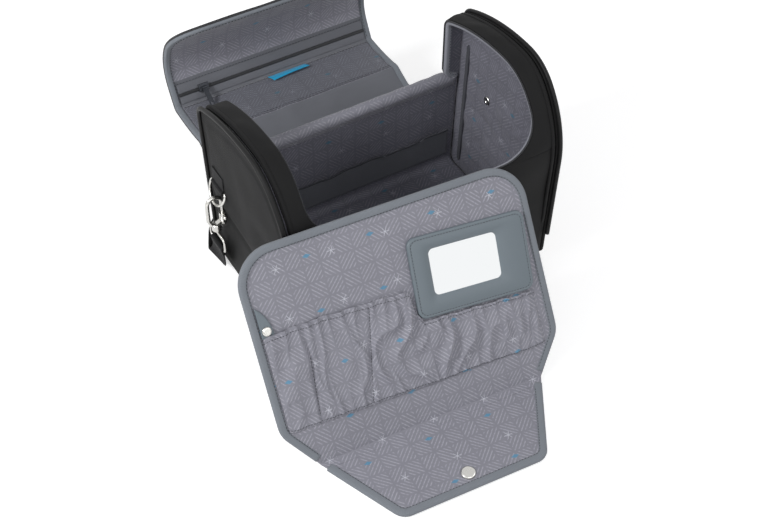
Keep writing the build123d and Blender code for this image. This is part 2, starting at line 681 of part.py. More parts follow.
# Gathered pocket: a rippled sheet sewn down at its foot, its ends and two dividers
across_panel = Plane(org_plane.from_local_coords(Vector(0, ORG_HEIGHT, 0)),
                     x_dir=org_plane.x_dir, z_dir=-org_plane.y_dir)
with BuildPart() as organizer_pocket:
    with BuildSketch(across_panel):
        with BuildLine():
            outer = Spline(*ripple(POCKET_CREST, POCKET_GAP + SHEET))
            Polyline(outer @ 1, (POCKET_RIGHT, 0), (POCKET_LEFT, 0), outer @ 0)
        make_face()
    extrude(amount=ORG_HEIGHT - 20)
    with BuildSketch(org_plane):
        with BuildLine():
            Polyline((POCKET_LEFT + 7, 43), (POCKET_LEFT, 62), (POCKET_LEFT, 149), (-93, 153), (-42, 150), (5, 147),
                     (9, 140), (9, 117), (15, 109), (145, 99), (POCKET_RIGHT, 97),
                     (POCKET_RIGHT, 48), (POCKET_RIGHT - 5, 35), (69, 38), (-42, 40), close=True)
        make_face()
    extrude(amount=20, mode=Mode.INTERSECT)
    with BuildPart(mode=Mode.PRIVATE) as slack:
        with BuildSketch(across_panel):
            with BuildLine():
                inner = Spline(*ripple(POCKET_CREST, POCKET_GAP))
                Polyline(inner @ 1, (POCKET_RIGHT, 0), (POCKET_LEFT, 0), inner @ 0)
            make_face()
        extrude(amount=ORG_HEIGHT - 20)
        with BuildSketch(org_plane):
            with BuildLine():
                Polyline((POCKET_LEFT + 11, 48), (POCKET_LEFT + 4, 64), (POCKET_LEFT + 4, 160), (-110, 160),
                         (-122, 47), close=True)
                Polyline((-119, 47), (-107, 160), (-38, 160), (-62, 46), close=True)
                Polyline((-59, 45), (-35, 160), (POCKET_RIGHT - 4, 160), (POCKET_RIGHT - 4, 50),
                         (POCKET_RIGHT - 9, 40), (69, 42), close=True)
            make_face()
        extrude(amount=20, mode=Mode.INTERSECT)
    add(slack.part, mode=Mode.SUBTRACT)
save(organizer_pocket.part, "organizer_pocket")

# Mirror in a bevelled frame, turned a little on the panel
mirror_plane = Plane(org_plane.location * Pos(*MIRROR_AT, 0) * Rot(0, 0, MIRROR_TURN))
with BuildPart() as mirror_frame:
    with BuildSketch(mirror_plane):
        RectangleRounded(*MIRROR_FRAME, 10)
    extrude(amount=FRAME_THICK)
    chamfer(mirror_frame.edges().group_by(Axis((0, 0, 0), mirror_plane.z_dir))[-1], 1)
    with BuildSketch(mirror_plane):
        with Locations(GLASS_SHIFT):
            RectangleRounded(*GLASS_SIZE, 6)
    extrude(amount=FRAME_THICK, mode=Mode.SUBTRACT)
    with BuildSketch(mirror_plane):
        with Locations(GLASS_SHIFT):
            RectangleRounded(GLASS_SIZE[0] + 6.4, GLASS_SIZE[1] + 6.4, 8)
    extrude(amount=1.7, mode=Mode.SUBTRACT)
save(mirror_frame.part, "mirror_frame")

with BuildPart() as mirror_glass:
    with BuildSketch(mirror_plane):
        with Locations(GLASS_SHIFT):
            RectangleRounded(GLASS_SIZE[0] + 6, GLASS_SIZE[1] + 6, 7.8)
    extrude(amount=1.5)
save(mirror_glass.part, "mirror_glass")

# Tab at the panel's left edge and the two press studs of the organizer
with BuildPart() as snap_tab:
    with BuildSketch(org_plane):
        with BuildLine():
            Polyline((-157.5, 185), (-157.5, 151), (-143.5, 151))
            ThreePointArc((-143.5, 151), (-147, 170), (-157.5, 185))
        make_face()
    extrude(amount=1.6)
save(snap_tab.part, "snap_tab")

for name, plane, base, place, radius in (
        ("tab_snap", org_plane, 1.6, (-151, 158), 5.2),
        ("flap_snap", flap_plane, 0, (0, -78), 8.2)):
    with BuildPart() as stud:
        with BuildSketch(plane.offset(base)):
            with Locations(place):
                Circle(radius)
        extrude(amount=STUD_HEIGHT)
        fillet(stud.edges().group_by(Axis((0, 0, 0), plane.z_dir))[-1], STUD_HEIGHT * 0.7)
    save(stud.part, name)
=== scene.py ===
# %% [markdown]
# # A soft toiletry bag, open, with its pull-out organizer
#
# The solids of the bag are loaded first, as a fixed frame in metres. Cloth is then made over
# them: each panel is a grid of places on the bag's own outline, so that it bulges, creases and
# carries its print as sewn cloth does. Metal parts keep their solids and get a better finish.

# %% The frame
from math import cos, pi, radians, sin, tan

import bpy
import numpy as np
from mathutils import Matrix, Vector, noise


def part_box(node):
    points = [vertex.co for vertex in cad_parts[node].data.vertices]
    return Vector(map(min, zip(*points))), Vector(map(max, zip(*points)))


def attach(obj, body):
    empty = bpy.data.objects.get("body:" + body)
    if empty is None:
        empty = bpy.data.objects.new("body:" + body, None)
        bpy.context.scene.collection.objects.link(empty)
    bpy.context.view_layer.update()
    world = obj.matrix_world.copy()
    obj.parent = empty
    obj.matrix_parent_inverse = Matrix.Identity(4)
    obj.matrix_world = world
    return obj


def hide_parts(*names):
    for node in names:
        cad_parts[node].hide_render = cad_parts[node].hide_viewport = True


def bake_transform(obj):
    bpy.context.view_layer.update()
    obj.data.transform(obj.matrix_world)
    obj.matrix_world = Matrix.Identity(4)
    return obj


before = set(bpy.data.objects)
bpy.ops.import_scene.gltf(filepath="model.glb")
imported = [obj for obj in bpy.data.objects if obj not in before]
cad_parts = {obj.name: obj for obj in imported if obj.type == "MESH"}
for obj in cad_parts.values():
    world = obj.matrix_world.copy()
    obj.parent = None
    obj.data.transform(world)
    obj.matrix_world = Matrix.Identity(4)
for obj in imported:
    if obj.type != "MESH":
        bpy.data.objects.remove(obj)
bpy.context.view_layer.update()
scene = bpy.context.scene
bpy.ops.object.select_all(action="DESELECT")

# %% [markdown]
# ## Camera
# The camera looks down from the left and in front. Its place was found by laying the bag's
# outline over the photograph, so it is written as a place and three angles.

# %% Camera
EYE = Vector((-0.5977, -0.9941, 1.2347))
YAW, PITCH, ROLL = 0.5501, 0.8214, -0.0169
FOCAL_PX, PICTURE_WIDTH, SENSOR = 1403.57, 780, 36  # pixels, pixels and millimetres
forward = Vector((sin(YAW) * cos(PITCH), cos(YAW) * cos(PITCH), -sin(PITCH)))
level = Vector((cos(YAW), -sin(YAW), 0))
below = forward.cross(level)
right = level * cos(ROLL) + below * sin(ROLL)
down = below * cos(ROLL) - level * sin(ROLL)
bpy.ops.object.camera_add()
camera = bpy.context.object
camera.data.sensor_width = SENSOR
camera.data.lens = FOCAL_PX * SENSOR / PICTURE_WIDTH
camera.matrix_world = Matrix.Translation(EYE) @ Matrix((right, -down, -forward)).transposed().to_4x4()
scene.camera = camera
print("camera lens:", round(camera.data.lens, 1), "mm")

# %% [markdown]
# ## Colours and nodes
# A colour is read off as a hex value and turned to linear light. One function adds a node,
# with its settings, and gives its inputs a value or a link in order.

# %% Colour and node helpers
MM = 0.001


def colour(code):
    """A linear colour from an sRGB hex value."""
    parts = [int(code[i:i + 2], 16) / 255 for i in (1, 3, 5)]
    return (*[c / 12.92 if c <= 0.04045 else ((c + 0.055) / 1.055) ** 2.4 for c in parts], 1)


def add(tree, kind, settings, *sources):
    """Adds a node, and gives each input in order a value, a node or a socket."""
    node = tree.nodes.new("ShaderNode" + kind)
    for key, value in settings.items():
        setattr(node, key, value)
    for socket, source in zip(node.inputs, sources):
        if isinstance(source, bpy.types.Node):
            tree.links.new(source.outputs[0], socket)
        elif isinstance(source, bpy.types.NodeSocket):
            tree.links.new(source, socket)
        elif source is not None:
            socket.default_value = source
    return node


def material(name, sockets):
    """A new material whose shader has these plain values, with its tree and its shader."""
    made = bpy.data.materials.new(name)
    made.use_nodes = True
    shader = made.node_tree.nodes["Principled BSDF"]
    for key, value in sockets.items():
        shader.inputs[key].default_value = value
    return made, made.node_tree, shader


TIMES, PLUS, LESS = {"operation": "MULTIPLY"}, {"operation": "ADD"}, {"operation": "SUBTRACT"}
WAVE, FOLD, WRAP = {"operation": "SINE"}, {"operation": "PINGPONG"}, {"operation": "WRAP"}
SIZE, LOW, HIGH = {"operation": "ABSOLUTE"}, {"operation": "MINIMUM"}, {"operation": "MAXIMUM"}
BLEND, SKIP = {"data_type": "RGBA"}, (None,) * 5  # a mix of colours skips five inputs of other kinds
IN_MM = (1000, 1000, 1)  # a cloth's map is in metres

# %% [markdown]
# ## Printed satin lining
# The lining is a satin-faced polyester with a pale tone-on-tone print, so it has a soft sheen
# and no gloss. The pattern is a plain one: short strokes that lean left and right in turn, with
# small stars and blue lozenges far apart. It follows the cloth's own map, which is in metres.

# %% Printed lining
STROKE_CELL, STROKE_STEP = 19.0, 3.8  # mm, a block of strokes, and from stroke to stroke
STAR_X, STAR_Y, STAR_R = 31, 27, 4.6  # mm, half the way from star to star, and a star's radius
LOZENGE_X, LOZENGE_Y = 36, 30  # mm, half the way from lozenge to lozenge
NET_PITCH = 1.8  # mm, from thread to thread of the net
WEAVE = 4.2  # radians in a mm: it repeats every 1.5 mm, coarser than real satin, so as to show


def printed(name, ground, stroke, star, blue, net=0.0, roughness=0.62):
    """A printed satin, with a fine net over it where net is above 0."""
    made, tree, shader = material(name, {"Roughness": roughness, "Sheen Weight": 0.25,
                                         "Sheen Roughness": 0.4})
    cloth_map = add(tree, "UVMap", {})
    spot = add(tree, "SeparateXYZ", {}, add(tree, "Mapping", {}, cloth_map, None, None, IN_MM))
    x, y = spot.outputs["X"], spot.outputs["Y"]
    cells = add(tree, "TexChecker", {}, cloth_map, (1, 1, 1, 1), (0, 0, 0, 1), 1000 / STROKE_CELL)
    swap = cells.outputs["Fac"]
    lean_a, lean_b = add(tree, "Math", PLUS, x, y), add(tree, "Math", LESS, x, y)
    lean = add(tree, "Mix", {"data_type": "FLOAT"}, swap, None, lean_a, lean_b)
    stripe = add(tree, "Math", FOLD, lean, STROKE_STEP * 0.7)
    stripe = add(tree, "MapRange", {}, stripe, 0.5, 1.25, 1, 0)
    rim = add(tree, "Math", LOW, add(tree, "Math", FOLD, x, STROKE_CELL / 2),
              add(tree, "Math", FOLD, y, STROKE_CELL / 2))
    inside = add(tree, "MapRange", {}, rim, 0.7, 1.7, 0, 1)
    worn = add(tree, "TexNoise", {}, cloth_map, None, 420, 2)
    worn = add(tree, "MapRange", {}, worn, 0.4, 0.56, 0.35, 1)
    strokes = add(tree, "Math", TIMES, add(tree, "Math", TIMES, stripe, inside), worn)
    far_x = add(tree, "Math", WRAP, x, STAR_X, -STAR_X)
    far_y = add(tree, "Math", WRAP, y, STAR_Y, -STAR_Y)
    arms = add(tree, "Math", {"operation": "ARCTAN2"}, far_y, far_x)
    reach = add(tree, "VectorMath", {"operation": "LENGTH"}, add(tree, "CombineXYZ", {}, far_x, far_y))
    arms = add(tree, "Math", SIZE, add(tree, "Math", WAVE, add(tree, "Math", TIMES, arms, 3.0)))
    arms = add(tree, "Math", TIMES, arms, reach.outputs["Value"])
    stars = add(tree, "MapRange", {}, arms, 0.5, 1.1, 1, 0)
    stars = add(tree, "Math", TIMES, stars,
                add(tree, "MapRange", {}, reach.outputs["Value"], STAR_R, STAR_R + 0.8, 1, 0))
    gap_x = add(tree, "Math", WRAP, add(tree, "Math", PLUS, x, 17.0), LOZENGE_X, -LOZENGE_X)
    gap_y = add(tree, "Math", WRAP, add(tree, "Math", PLUS, y, 21.0), LOZENGE_Y, -LOZENGE_Y)
    lozenge = add(tree, "Math", PLUS, add(tree, "Math", TIMES, add(tree, "Math", SIZE, gap_x), 0.2),
                  add(tree, "Math", TIMES, add(tree, "Math", SIZE, gap_y), 0.42))
    lozenge = add(tree, "MapRange", {}, lozenge, 0.85, 1.1, 0.8, 0)
    shade = add(tree, "TexNoise", {}, cloth_map, None, 14, 3)
    darker = tuple(c * 0.84 for c in ground[:3]) + (1,)
    now = add(tree, "Mix", BLEND, shade, *SKIP, ground, darker)
    for share, tone in ((strokes, stroke), (stars, star), (lozenge, blue)):
        now = add(tree, "Mix", BLEND, share, *SKIP, now.outputs["Result"], tone)
    weave = add(tree, "Math", TIMES, add(tree, "Math", WAVE, add(tree, "Math", TIMES, x, WEAVE)),
                add(tree, "Math", WAVE, add(tree, "Math", TIMES, y, WEAVE)))
    result = now.outputs["Result"]
    if net:
        threads = add(tree, "Math", LOW, add(tree, "Math", FOLD, x, NET_PITCH / 2),
                      add(tree, "Math", FOLD, y, NET_PITCH / 2))
        threads = add(tree, "MapRange", {}, threads, 0.25, 0.5, net, 0)
        dimmed = add(tree, "Mix", BLEND, threads, *SKIP, result, colour("#3c3f44"))
        result, weave = dimmed.outputs["Result"], threads
    tree.links.new(result, shader.inputs["Base Color"])
    relief = add(tree, "Bump", {}, 0.25, 0.0003)
    tree.links.new(weave.outputs[0], relief.inputs["Height"])
    tree.links.new(relief.outputs[0], shader.inputs["Normal"])
    return made


satin_light = printed("satin_light", colour("#83838d"), colour("#9c9ca6"), colour("#b9bac4"),
                      colour("#4685a6"))
# The inside copy is the same print painted darker, as painted shade inside the bag
satin_painted_shade = printed("satin_painted_shade", colour("#6f6f7a"), colour("#878792"), colour("#9fa0ab"),
                       colour("#3b7088"))
satin_net = printed("satin_under_net", colour("#74757f"), colour("#8b8c97"), colour("#9a9ba6"),
                    colour("#47798f"), net=0.62, roughness=0.7)
print("printed satins:", satin_light.name, satin_painted_shade.name, satin_net.name)

# %% [markdown]
# ## Plain cloths and tapes
# The shell is a dense black polyester, matt and barely lighter at grazing light. Bindings are
# ribbed tape and the strap is webbing, whose ribs run across it. Such ribs are typically about
# 0.7 mm apart, and the weaves are finer still. Both are drawn 1.2 to 1.8 mm apart, so that
# they show at this distance.

# %% Plain cloths and tapes


def woven(name, tone, other, pitch, ribbed, roughness=0.8, sheen=0.15, depth=0.0004):
    """A plain woven cloth, or a ribbed tape whose ribs cross its length."""
    made, tree, shader = material(name, {"Roughness": roughness, "Sheen Weight": sheen,
                                         "Sheen Roughness": 0.5, "Specular IOR Level": 0.22})
    cloth_map = add(tree, "UVMap", {})
    spot = add(tree, "SeparateXYZ", {}, add(tree, "Mapping", {}, cloth_map, None, None, IN_MM))
    turns = 2 * pi / pitch
    along = add(tree, "Math", WAVE, add(tree, "Math", TIMES, spot.outputs["X"], turns))
    if ribbed:
        height = along
    else:
        height = add(tree, "Math", TIMES, along,
                     add(tree, "Math", WAVE, add(tree, "Math", TIMES, spot.outputs["Y"], turns)))
    ribs = add(tree, "MapRange", {}, height, -1, 1, 0, 0.45)
    patches = add(tree, "TexNoise", {}, cloth_map, None, 22, 3)
    mixed = add(tree, "Math", PLUS, ribs, add(tree, "Math", TIMES, patches, 0.5))
    tint = add(tree, "Mix", BLEND, mixed, *SKIP, tone, other)
    tree.links.new(tint.outputs["Result"], shader.inputs["Base Color"])
    relief = add(tree, "Bump", {}, 0.35, depth)
    tree.links.new(height.outputs[0], relief.inputs["Height"])
    tree.links.new(relief.outputs[0], shader.inputs["Normal"])
    return made


black_cloth = woven("black_polyester", colour("#060607"), colour("#0c0c0d"), 1.2, False, 0.75, 0.01, 0.0001)
black_rolled = woven("black_piping", colour("#070708"), colour("#0f0f10"), 1.5, True, 0.5, 0.02, 0.0001)
webbing = woven("black_webbing", colour("#08080a"), colour("#151517"), 1.8, True, 0.72, 0.03)
grey_tape = woven("grey_ribbed_tape", colour("#72777e"), colour("#83888f"), 1.5, True)
rim_tape = woven("pale_rim_tape", colour("#8a8c95"), colour("#9b9da6"), 1.5, True)
dark_grey = woven("dark_grey_cloth", colour("#63656b"), colour("#74767d"), 1.3, False)
seam_tape = woven("dark_seam_tape", colour("#3c3e44"), colour("#4a4c53"), 1.4, True)
ribbon = woven("blank_blue_ribbon", colour("#0f9bcb"), colour("#1aa8d8"), 1.2, True, 0.5)
zip_tape = woven("black_zip", colour("#1c1d1f"), colour("#3a3b3f"), 1.6, True, 0.5)
thread_dark = woven("dark_thread", colour("#33363b"), colour("#44474d"), 0.6, True)
print("cloths:", len(bpy.data.materials), "materials so far")

# %% [markdown]
# ## Vinyl, metal and mirror
# The mirror's frame is covered in a smooth vinyl with a fine grain. The hooks, rings and studs
# are nickel-plated castings, bright but with slightly uneven polish. The slider is enamelled.

# %% Vinyl, metal and mirror
vinyl, tree, shader = material("smooth_vinyl", {"Roughness": 0.46, "Base Color": colour("#667077")})
grain = add(tree, "TexVoronoi", {}, add(tree, "TexCoord", {}).outputs["Object"], None, 900)
relief = add(tree, "Bump", {}, 0.12, 0.0002)
tree.links.new(grain.outputs["Distance"], relief.inputs["Height"])
tree.links.new(relief.outputs[0], shader.inputs["Normal"])


def polished(name, tone, metallic, patches, detail, smoothest, roughest):
    """A shiny finish whose polish is slightly uneven, with so many patches to the metre."""
    made, tree, shader = material(name, {"Metallic": metallic, "Base Color": colour(tone)})
    wear = add(tree, "TexNoise", {}, add(tree, "TexCoord", {}).outputs["Object"], None, patches, detail)
    uneven = add(tree, "MapRange", {}, wear, 0.3, 0.7, smoothest, roughest)
    tree.links.new(uneven.outputs[0], shader.inputs["Roughness"])
    return made


nickel = polished("nickel_plate", "#c9c8c4", 1.0, 160, 4, 0.16, 0.32)
enamel = polished("dark_enamel", "#3d4046", 0.6, 300, 3, 0.32, 0.48)
silvered = polished("silvered_glass", "#f4f6f7", 1.0, 40, 2, 0.02, 0.05)
print("finishes:", vinyl.name, nickel.name, enamel.name, silvered.name)

# %% [markdown]
# ## The bag's outline
# The side panel is a D: a straight back, three arcs over the top, a last arc onto the straight
# front, and rounded corners at the base. The lid's opening flares at the fold and has round
# corners in front. The bag's cloths are placed by how far they lie along this outline and how
# deep below the outside, so the outline is walked once and kept.

# %% Outline
HALF_W, HALF_D, BASE_R, WALL = 165.0, 101.0, 14.0, 5.0
SHOULDER_Z, FOLD_Z, RIM_Z = 219.0, 138.0, 178.0
SHOULDER_R, SHOULDER_TURN, CROWN_R, BROW_R, CHIN_R = 16.0, 65, 260.0, 62.0, 126.864
OPENING_HALF, CORNER_R, FLARE_R = 141, 45, 17
CORNER_X, CORNER_Z = OPENING_HALF - CORNER_R, RIM_Z + CORNER_R
FLARE_X, FLARE_TOP = OPENING_HALF + FLARE_R, FOLD_Z + FLARE_R
LEAN = tan(radians(1.7))
# Each run is a straight length, or a radius and the degrees that it turns
RUNS = ((205.0, 0, 0), (0, SHOULDER_R, SHOULDER_TURN), (0, CROWN_R, 26), (0, BROW_R, 46), (0, CHIN_R, 43),
        (137.59, 0, 0), (0, BASE_R, 90), (174.0, 0, 0), (0, BASE_R, 90))


def walk():
    """Rows of distance, y, z and heading from the foot of the back right round the side."""
    rows, y, z, heading, gone = [], HALF_D, BASE_R, 90.0, 0.0
    for straight, radius, turned in RUNS:
        length = straight or radius * radians(turned)
        steps = max(2, int(length / 0.5))
        for _ in range(steps):
            rows.append((gone, y, z, heading))
            middle = radians(heading + turned / steps / 2)
            y, z = y + length / steps * cos(middle), z + length / steps * sin(middle)
            heading, gone = heading + turned / steps, gone + length / steps
    rows.append((gone, y, z, heading))
    return np.array(rows)


OUTLINE = walk()
ROUND = OUTLINE[-1, 0]
peak = int(np.argmax(OUTLINE[:, 2]))


def front_at(z):
    """Distance along the outline where the front, coming down from the top, is at a height."""
    half_way = np.searchsorted(OUTLINE[:, 0], 600)
    return np.interp(-np.asarray(z, float), -OUTLINE[peak:half_way, 2], OUTLINE[peak:half_way, 0])


def on_outline(s, depth):
    """(y, z) on the outline at a distance, so far below the outside."""
    s = np.mod(s, ROUND)
    y, z, heading = (np.interp(s, OUTLINE[:, 0], OUTLINE[:, k]) for k in (1, 2, 3))
    out = np.radians(heading - 90)
    return y - depth * np.cos(out), z - depth * np.sin(out)


def half_width(s, margin):
    """Half the width of the lid's opening at a distance, moved outwards by a margin."""
    y, z = on_outline(s, 0)
    corner, flare = CORNER_R + margin, FLARE_R - margin
    over = np.clip(CORNER_Z - z, 0, corner)
    front = np.where(z < CORNER_Z, CORNER_X + np.sqrt(corner ** 2 - over ** 2), OPENING_HALF + margin)
    rise = np.clip(FLARE_TOP - z, 0, flare)
    back = np.where(z < FLARE_TOP, FLARE_X - np.sqrt(flare ** 2 - rise ** 2), OPENING_HALF + margin)
    return np.where(y < 0, front, back)


def side_x(z):
    """How far out the side panels are at a height."""
    return HALF_W + np.asarray(z) * LEAN


CORNER_S = float(front_at(CORNER_Z))
print("outline is", round(ROUND, 1), "mm round, front rim at", round(float(front_at(RIM_Z)), 1))

# %% [markdown]
# ## The lid's folds
# The lid is drawn closed on the same outline and then turned about its fold and two seams.
# Near the seams the turn comes on smoothly, so that a cloth can run through them. At the fold
# it is sharp, except for the strip that covers the fold.

# %% Open lid
FOLD_S, SEAM_1_S, SEAM_2_S = FOLD_Z - BASE_R, 248.11, 313.91
SEAM_1_DIR, SEAM_2_DIR, SEAM_2_DEPTH = radians(70.5), radians(85), 6.6
LID_SWING, TOP_CURL, FRONT_CURL = -135, -34, 51  # degrees from closed to open
crown_y = HALF_D - SHOULDER_R + (SHOULDER_R - CROWN_R) * cos(radians(SHOULDER_TURN))
crown_z = SHOULDER_Z + (SHOULDER_R - CROWN_R) * sin(radians(SHOULDER_TURN))
seam_2_r = CROWN_R - SEAM_2_DEPTH
FOLD_AT = (HALF_D, FOLD_Z)
SEAM_1_AT = crown_y + CROWN_R * cos(SEAM_1_DIR), crown_z + CROWN_R * sin(SEAM_1_DIR)
SEAM_2_AT = crown_y + seam_2_r * cos(SEAM_2_DIR), crown_z + seam_2_r * sin(SEAM_2_DIR)


def ease(t):
    """0 to 1 with a smooth start and end."""
    t = np.clip(t, 0, 1)
    return t * t * (3 - 2 * t)


def turned(y, z, centre, angle):
    """Points turned in the y-z plane about a centre, by degrees."""
    a = np.radians(angle)
    y, z = y - centre[0], z - centre[1]
    return centre[0] + y * np.cos(a) - z * np.sin(a), centre[1] + y * np.sin(a) + z * np.cos(a)


def on_bag(x, s, depth):
    """Places on the body's outline, in millimetres."""
    y, z = on_outline(s, depth)
    return np.stack(np.broadcast_arrays(x, y, z), -1)


def on_lid(x, s, depth, fold_soft=0.01):
    """Places on the open lid, in millimetres."""
    y, z = on_outline(s, depth)
    s = np.asarray(s, float)
    y, z = turned(y, z, SEAM_2_AT, FRONT_CURL * ease((s - SEAM_2_S + 5) / 10))
    y, z = turned(y, z, SEAM_1_AT, TOP_CURL * ease((s - SEAM_1_S + 6) / 12))
    y, z = turned(y, z, FOLD_AT, LID_SWING * ease((s - FOLD_S + fold_soft) / (2 * fold_soft)))
    return np.stack(np.broadcast_arrays(x, y, z), -1)


LID_END = float(front_at(RIM_Z + 2))
SEAM_1_OPEN = on_lid(0, SEAM_1_S, 0)
SEAM_2_OPEN = on_lid(0, SEAM_2_S, SEAM_2_DEPTH)
print("lid seams lie at", SEAM_1_OPEN.round(1), SEAM_2_OPEN.round(1))

# %% [markdown]
# ## Making cloth
# A sheet is a grid of places with a map in millimetres, thickened on its hidden side. A plane
# could be shaped step by step instead, but it would hardly follow the bag's curves or carry
# the weave along the cloth.

# %% Sheets


def rumple(places, out, height, size, seed):
    """Moves places in and out by a soft noise of a height and a size in millimetres."""
    flat = places.reshape(-1, 3)
    lift = np.array([noise.noise(Vector(p) / size + Vector((seed, seed * 1.7, 0))) for p in flat])
    return places + out * (height * lift).reshape(places.shape[:-1])[..., None]


def build(name, places, faces, cloth_map, finishes, out=None):
    """A mesh from places and a map in millimetres, its faces turned to look outwards."""
    if out is not None:
        out = np.broadcast_to(out, places.shape).reshape(-1, 3)
    places, cloth_map = places.reshape(-1, 3), cloth_map.reshape(-1, 2)
    faces = np.asarray(faces)
    if out is not None:
        a, b, c = (places[faces[:, k]] for k in (0, 1, 2))
        side = np.cross(b - a, c - a)
        if (side * out[faces[:, 0]]).sum() < 0:
            faces = faces[:, ::-1]
    mesh = bpy.data.meshes.new(name)
    mesh.from_pydata((places * MM).tolist(), [], faces.tolist())
    layer = mesh.uv_layers.new(name="cloth")
    corners = np.array([loop.vertex_index for loop in mesh.loops])
    layer.data.foreach_set("uv", (cloth_map[corners] * MM).ravel())
    for finish in finishes:
        mesh.materials.append(finish)
    piece = bpy.data.objects.new(name, mesh)
    scene.collection.objects.link(piece)
    for polygon in mesh.polygons:
        polygon.use_smooth = True
    return piece


def select_alone(piece):
    """Makes a piece the one that operators act on."""
    bpy.ops.object.select_all(action="DESELECT")
    bpy.context.view_layer.objects.active = piece
    piece.select_set(True)


def use(piece, kind, **settings):
    """Adds a modifier to a piece and applies it."""
    select_alone(piece)
    made = piece.modifiers.new(kind.lower(), kind)
    for key, value in settings.items():
        setattr(made, key, value)
    bpy.ops.object.modifier_apply(modifier=made.name)
    return piece


def face_outwards(piece):
    """Turns a closed piece's faces to look outwards."""
    select_alone(piece)
    bpy.ops.object.mode_set(mode="EDIT")
    bpy.ops.mesh.select_all(action="SELECT")
    bpy.ops.mesh.normals_make_consistent(inside=False)
    bpy.ops.object.mode_set(mode="OBJECT")
    return piece


def grid_faces(rows, columns, joined=False):
    """The faces of a grid of places, whose last column meets its first where joined."""
    across = columns if joined else columns - 1
    return [(r * columns + c, r * columns + (c + 1) % columns,
             (r + 1) * columns + (c + 1) % columns, (r + 1) * columns + c)
            for r in range(rows - 1) for c in range(across)]


def sheet(name, places, cloth_map, thickness, finishes, out):
    """A sheet of cloth, thickened on its hidden side."""
    piece = build(name, places, grid_faces(*places.shape[:2]), cloth_map, finishes, out)
    if thickness:
        use(piece, "SOLIDIFY", thickness=thickness * MM, offset=-1, use_even_offset=False)
    return piece


# %% [markdown]
# ## Tapes and rolled edges
# A tape is a rounded section drawn along a path. A bevelled curve would look much the same,
# but here the map is in true lengths, so that the ribs keep their pitch round every bend.

# %% Tapes


def rounded(width, height, corner=None, steps=4):
    """A rounded section as (across, up) pairs."""
    corner = min(width, height) / 2 - 0.01 if corner is None else corner
    points = []
    for quarter in range(4):
        cx = (width / 2 - corner) * (1 if quarter in (0, 3) else -1)
        cy = (height / 2 - corner) * (1 if quarter in (0, 1) else -1)
        for k in range(steps + 1):
            a = radians(90 * quarter + 90 * k / steps)
            points.append((cx + corner * cos(a), cy + corner * sin(a)))
    return np.array(points)


def frames(path, up):
    """Unit vectors across and up at each place of a path."""
    ahead = np.gradient(path, axis=0)
    ahead /= np.linalg.norm(ahead, axis=1, keepdims=True)
    up = np.broadcast_to(up, path.shape).astype(float)
    up = up - (up * ahead).sum(1, keepdims=True) * ahead
    up /= np.linalg.norm(up, axis=1, keepdims=True)
    return np.cross(ahead, up), up


def run_length(points):
    """How far along it each place of a path lies."""
    return np.concatenate([[0], np.cumsum(np.linalg.norm(np.diff(points, axis=0), axis=1))])


def tape(name, path, up, section, finishes, taper=0):
    """A section drawn along a path, its ends closed."""
    across, up = frames(path, up)
    rows, around = len(path), len(section)
    length, girth = run_length(path), run_length(section)
    scale = np.ones(rows)
    if taper:
        scale = np.sqrt(np.clip(np.minimum(length, length[-1] - length) / taper, 0.02, 1))
    places = (path[:, None] + across[:, None] * (section[None, :, :1] * scale[:, None, None])
              + up[:, None] * (section[None, :, 1:] * scale[:, None, None]))
    cloth_map = np.stack(np.broadcast_arrays(length[:, None], girth[None, :]), -1)
    piece = build(name, places, grid_faces(rows, around, True), cloth_map, finishes,
                  places - path[:, None])
    close_ends(piece)
    return piece


def close_ends(piece):
    """Closes the two ends of a tape."""
    select_alone(piece)
    bpy.ops.object.mode_set(mode="EDIT")
    bpy.ops.mesh.select_all(action="DESELECT")
    bpy.ops.mesh.select_mode(type="EDGE")
    bpy.ops.mesh.select_non_manifold()
    bpy.ops.mesh.edge_face_add()
    bpy.ops.object.mode_set(mode="OBJECT")


# %% [markdown]
# ## Stitches
# Thread shows as short stitches lying end to end. Each is a small spindle with few faces,
# because there are many of them.

# %% Stitches


def resampled(path, step):
    """A path with places at an even step."""
    path = np.asarray(path, float)
    length = run_length(path)
    count = max(3, int(length[-1] / step) + 1)
    wanted = np.linspace(0, length[-1], count)
    return np.stack([np.interp(wanted, length, path[:, k]) for k in range(path.shape[1])], -1)


def stitches(name, path, up, pitch=4.2, length=2.7, radius=0.35):
    """Short stitches lying end to end along a path."""
    path = resampled(np.hstack([path, np.broadcast_to(up, path.shape)]), pitch)
    spots, up = path[:, :3], path[:, 3:]
    across, up = frames(spots, up)
    ahead = np.cross(up, across)
    places, faces = [], []
    for p, a, b, c in zip(spots, ahead, across, up):
        base = len(places)
        for end, size in ((-0.5, 0.4), (-0.25, 1), (0.25, 1), (0.5, 0.4)):
            for k in range(6):
                t = pi * k / 3
                places.append(p + a * length * end + (b * cos(t) + c * sin(t)) * radius * size)
        for ring in range(3):
            for k in range(6):
                faces.append((base + ring * 6 + k, base + ring * 6 + (k + 1) % 6,
                              base + ring * 6 + 6 + (k + 1) % 6, base + ring * 6 + 6 + k))
        faces += [(base, base + 1, base + 2, base + 5), (base + 2, base + 3, base + 4, base + 5),
                  (base + 18, base + 19, base + 20, base + 23), (base + 20, base + 21, base + 22, base + 23)]
    places = np.array(places)
    return face_outwards(build(name, places, faces, places[:, :2], [thread_dark]))


# %% [markdown]
# ## Sewing on
# Each finished piece is given to the body that it moves with, or kept in place where it would bend between
# two, in place of the solids that it stands for. A single layer of cloth also has the area of its cut
# measured.

# %% Sewing on


def sew(piece, body, slot, *nodes):
    """Rides a finished piece on its body, in place of the solids that it stands for."""
    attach(piece, body)
    if nodes:
        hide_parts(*nodes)
    return piece


def bend(piece, bodies, middle, reach, slot, *nodes):
    """Bakes a finished piece's place into its mesh, standing in for the solids that it replaces; the two
    bodies and the direction are not used.
    """
    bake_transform(piece)
    if nodes:
        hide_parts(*nodes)
    return piece


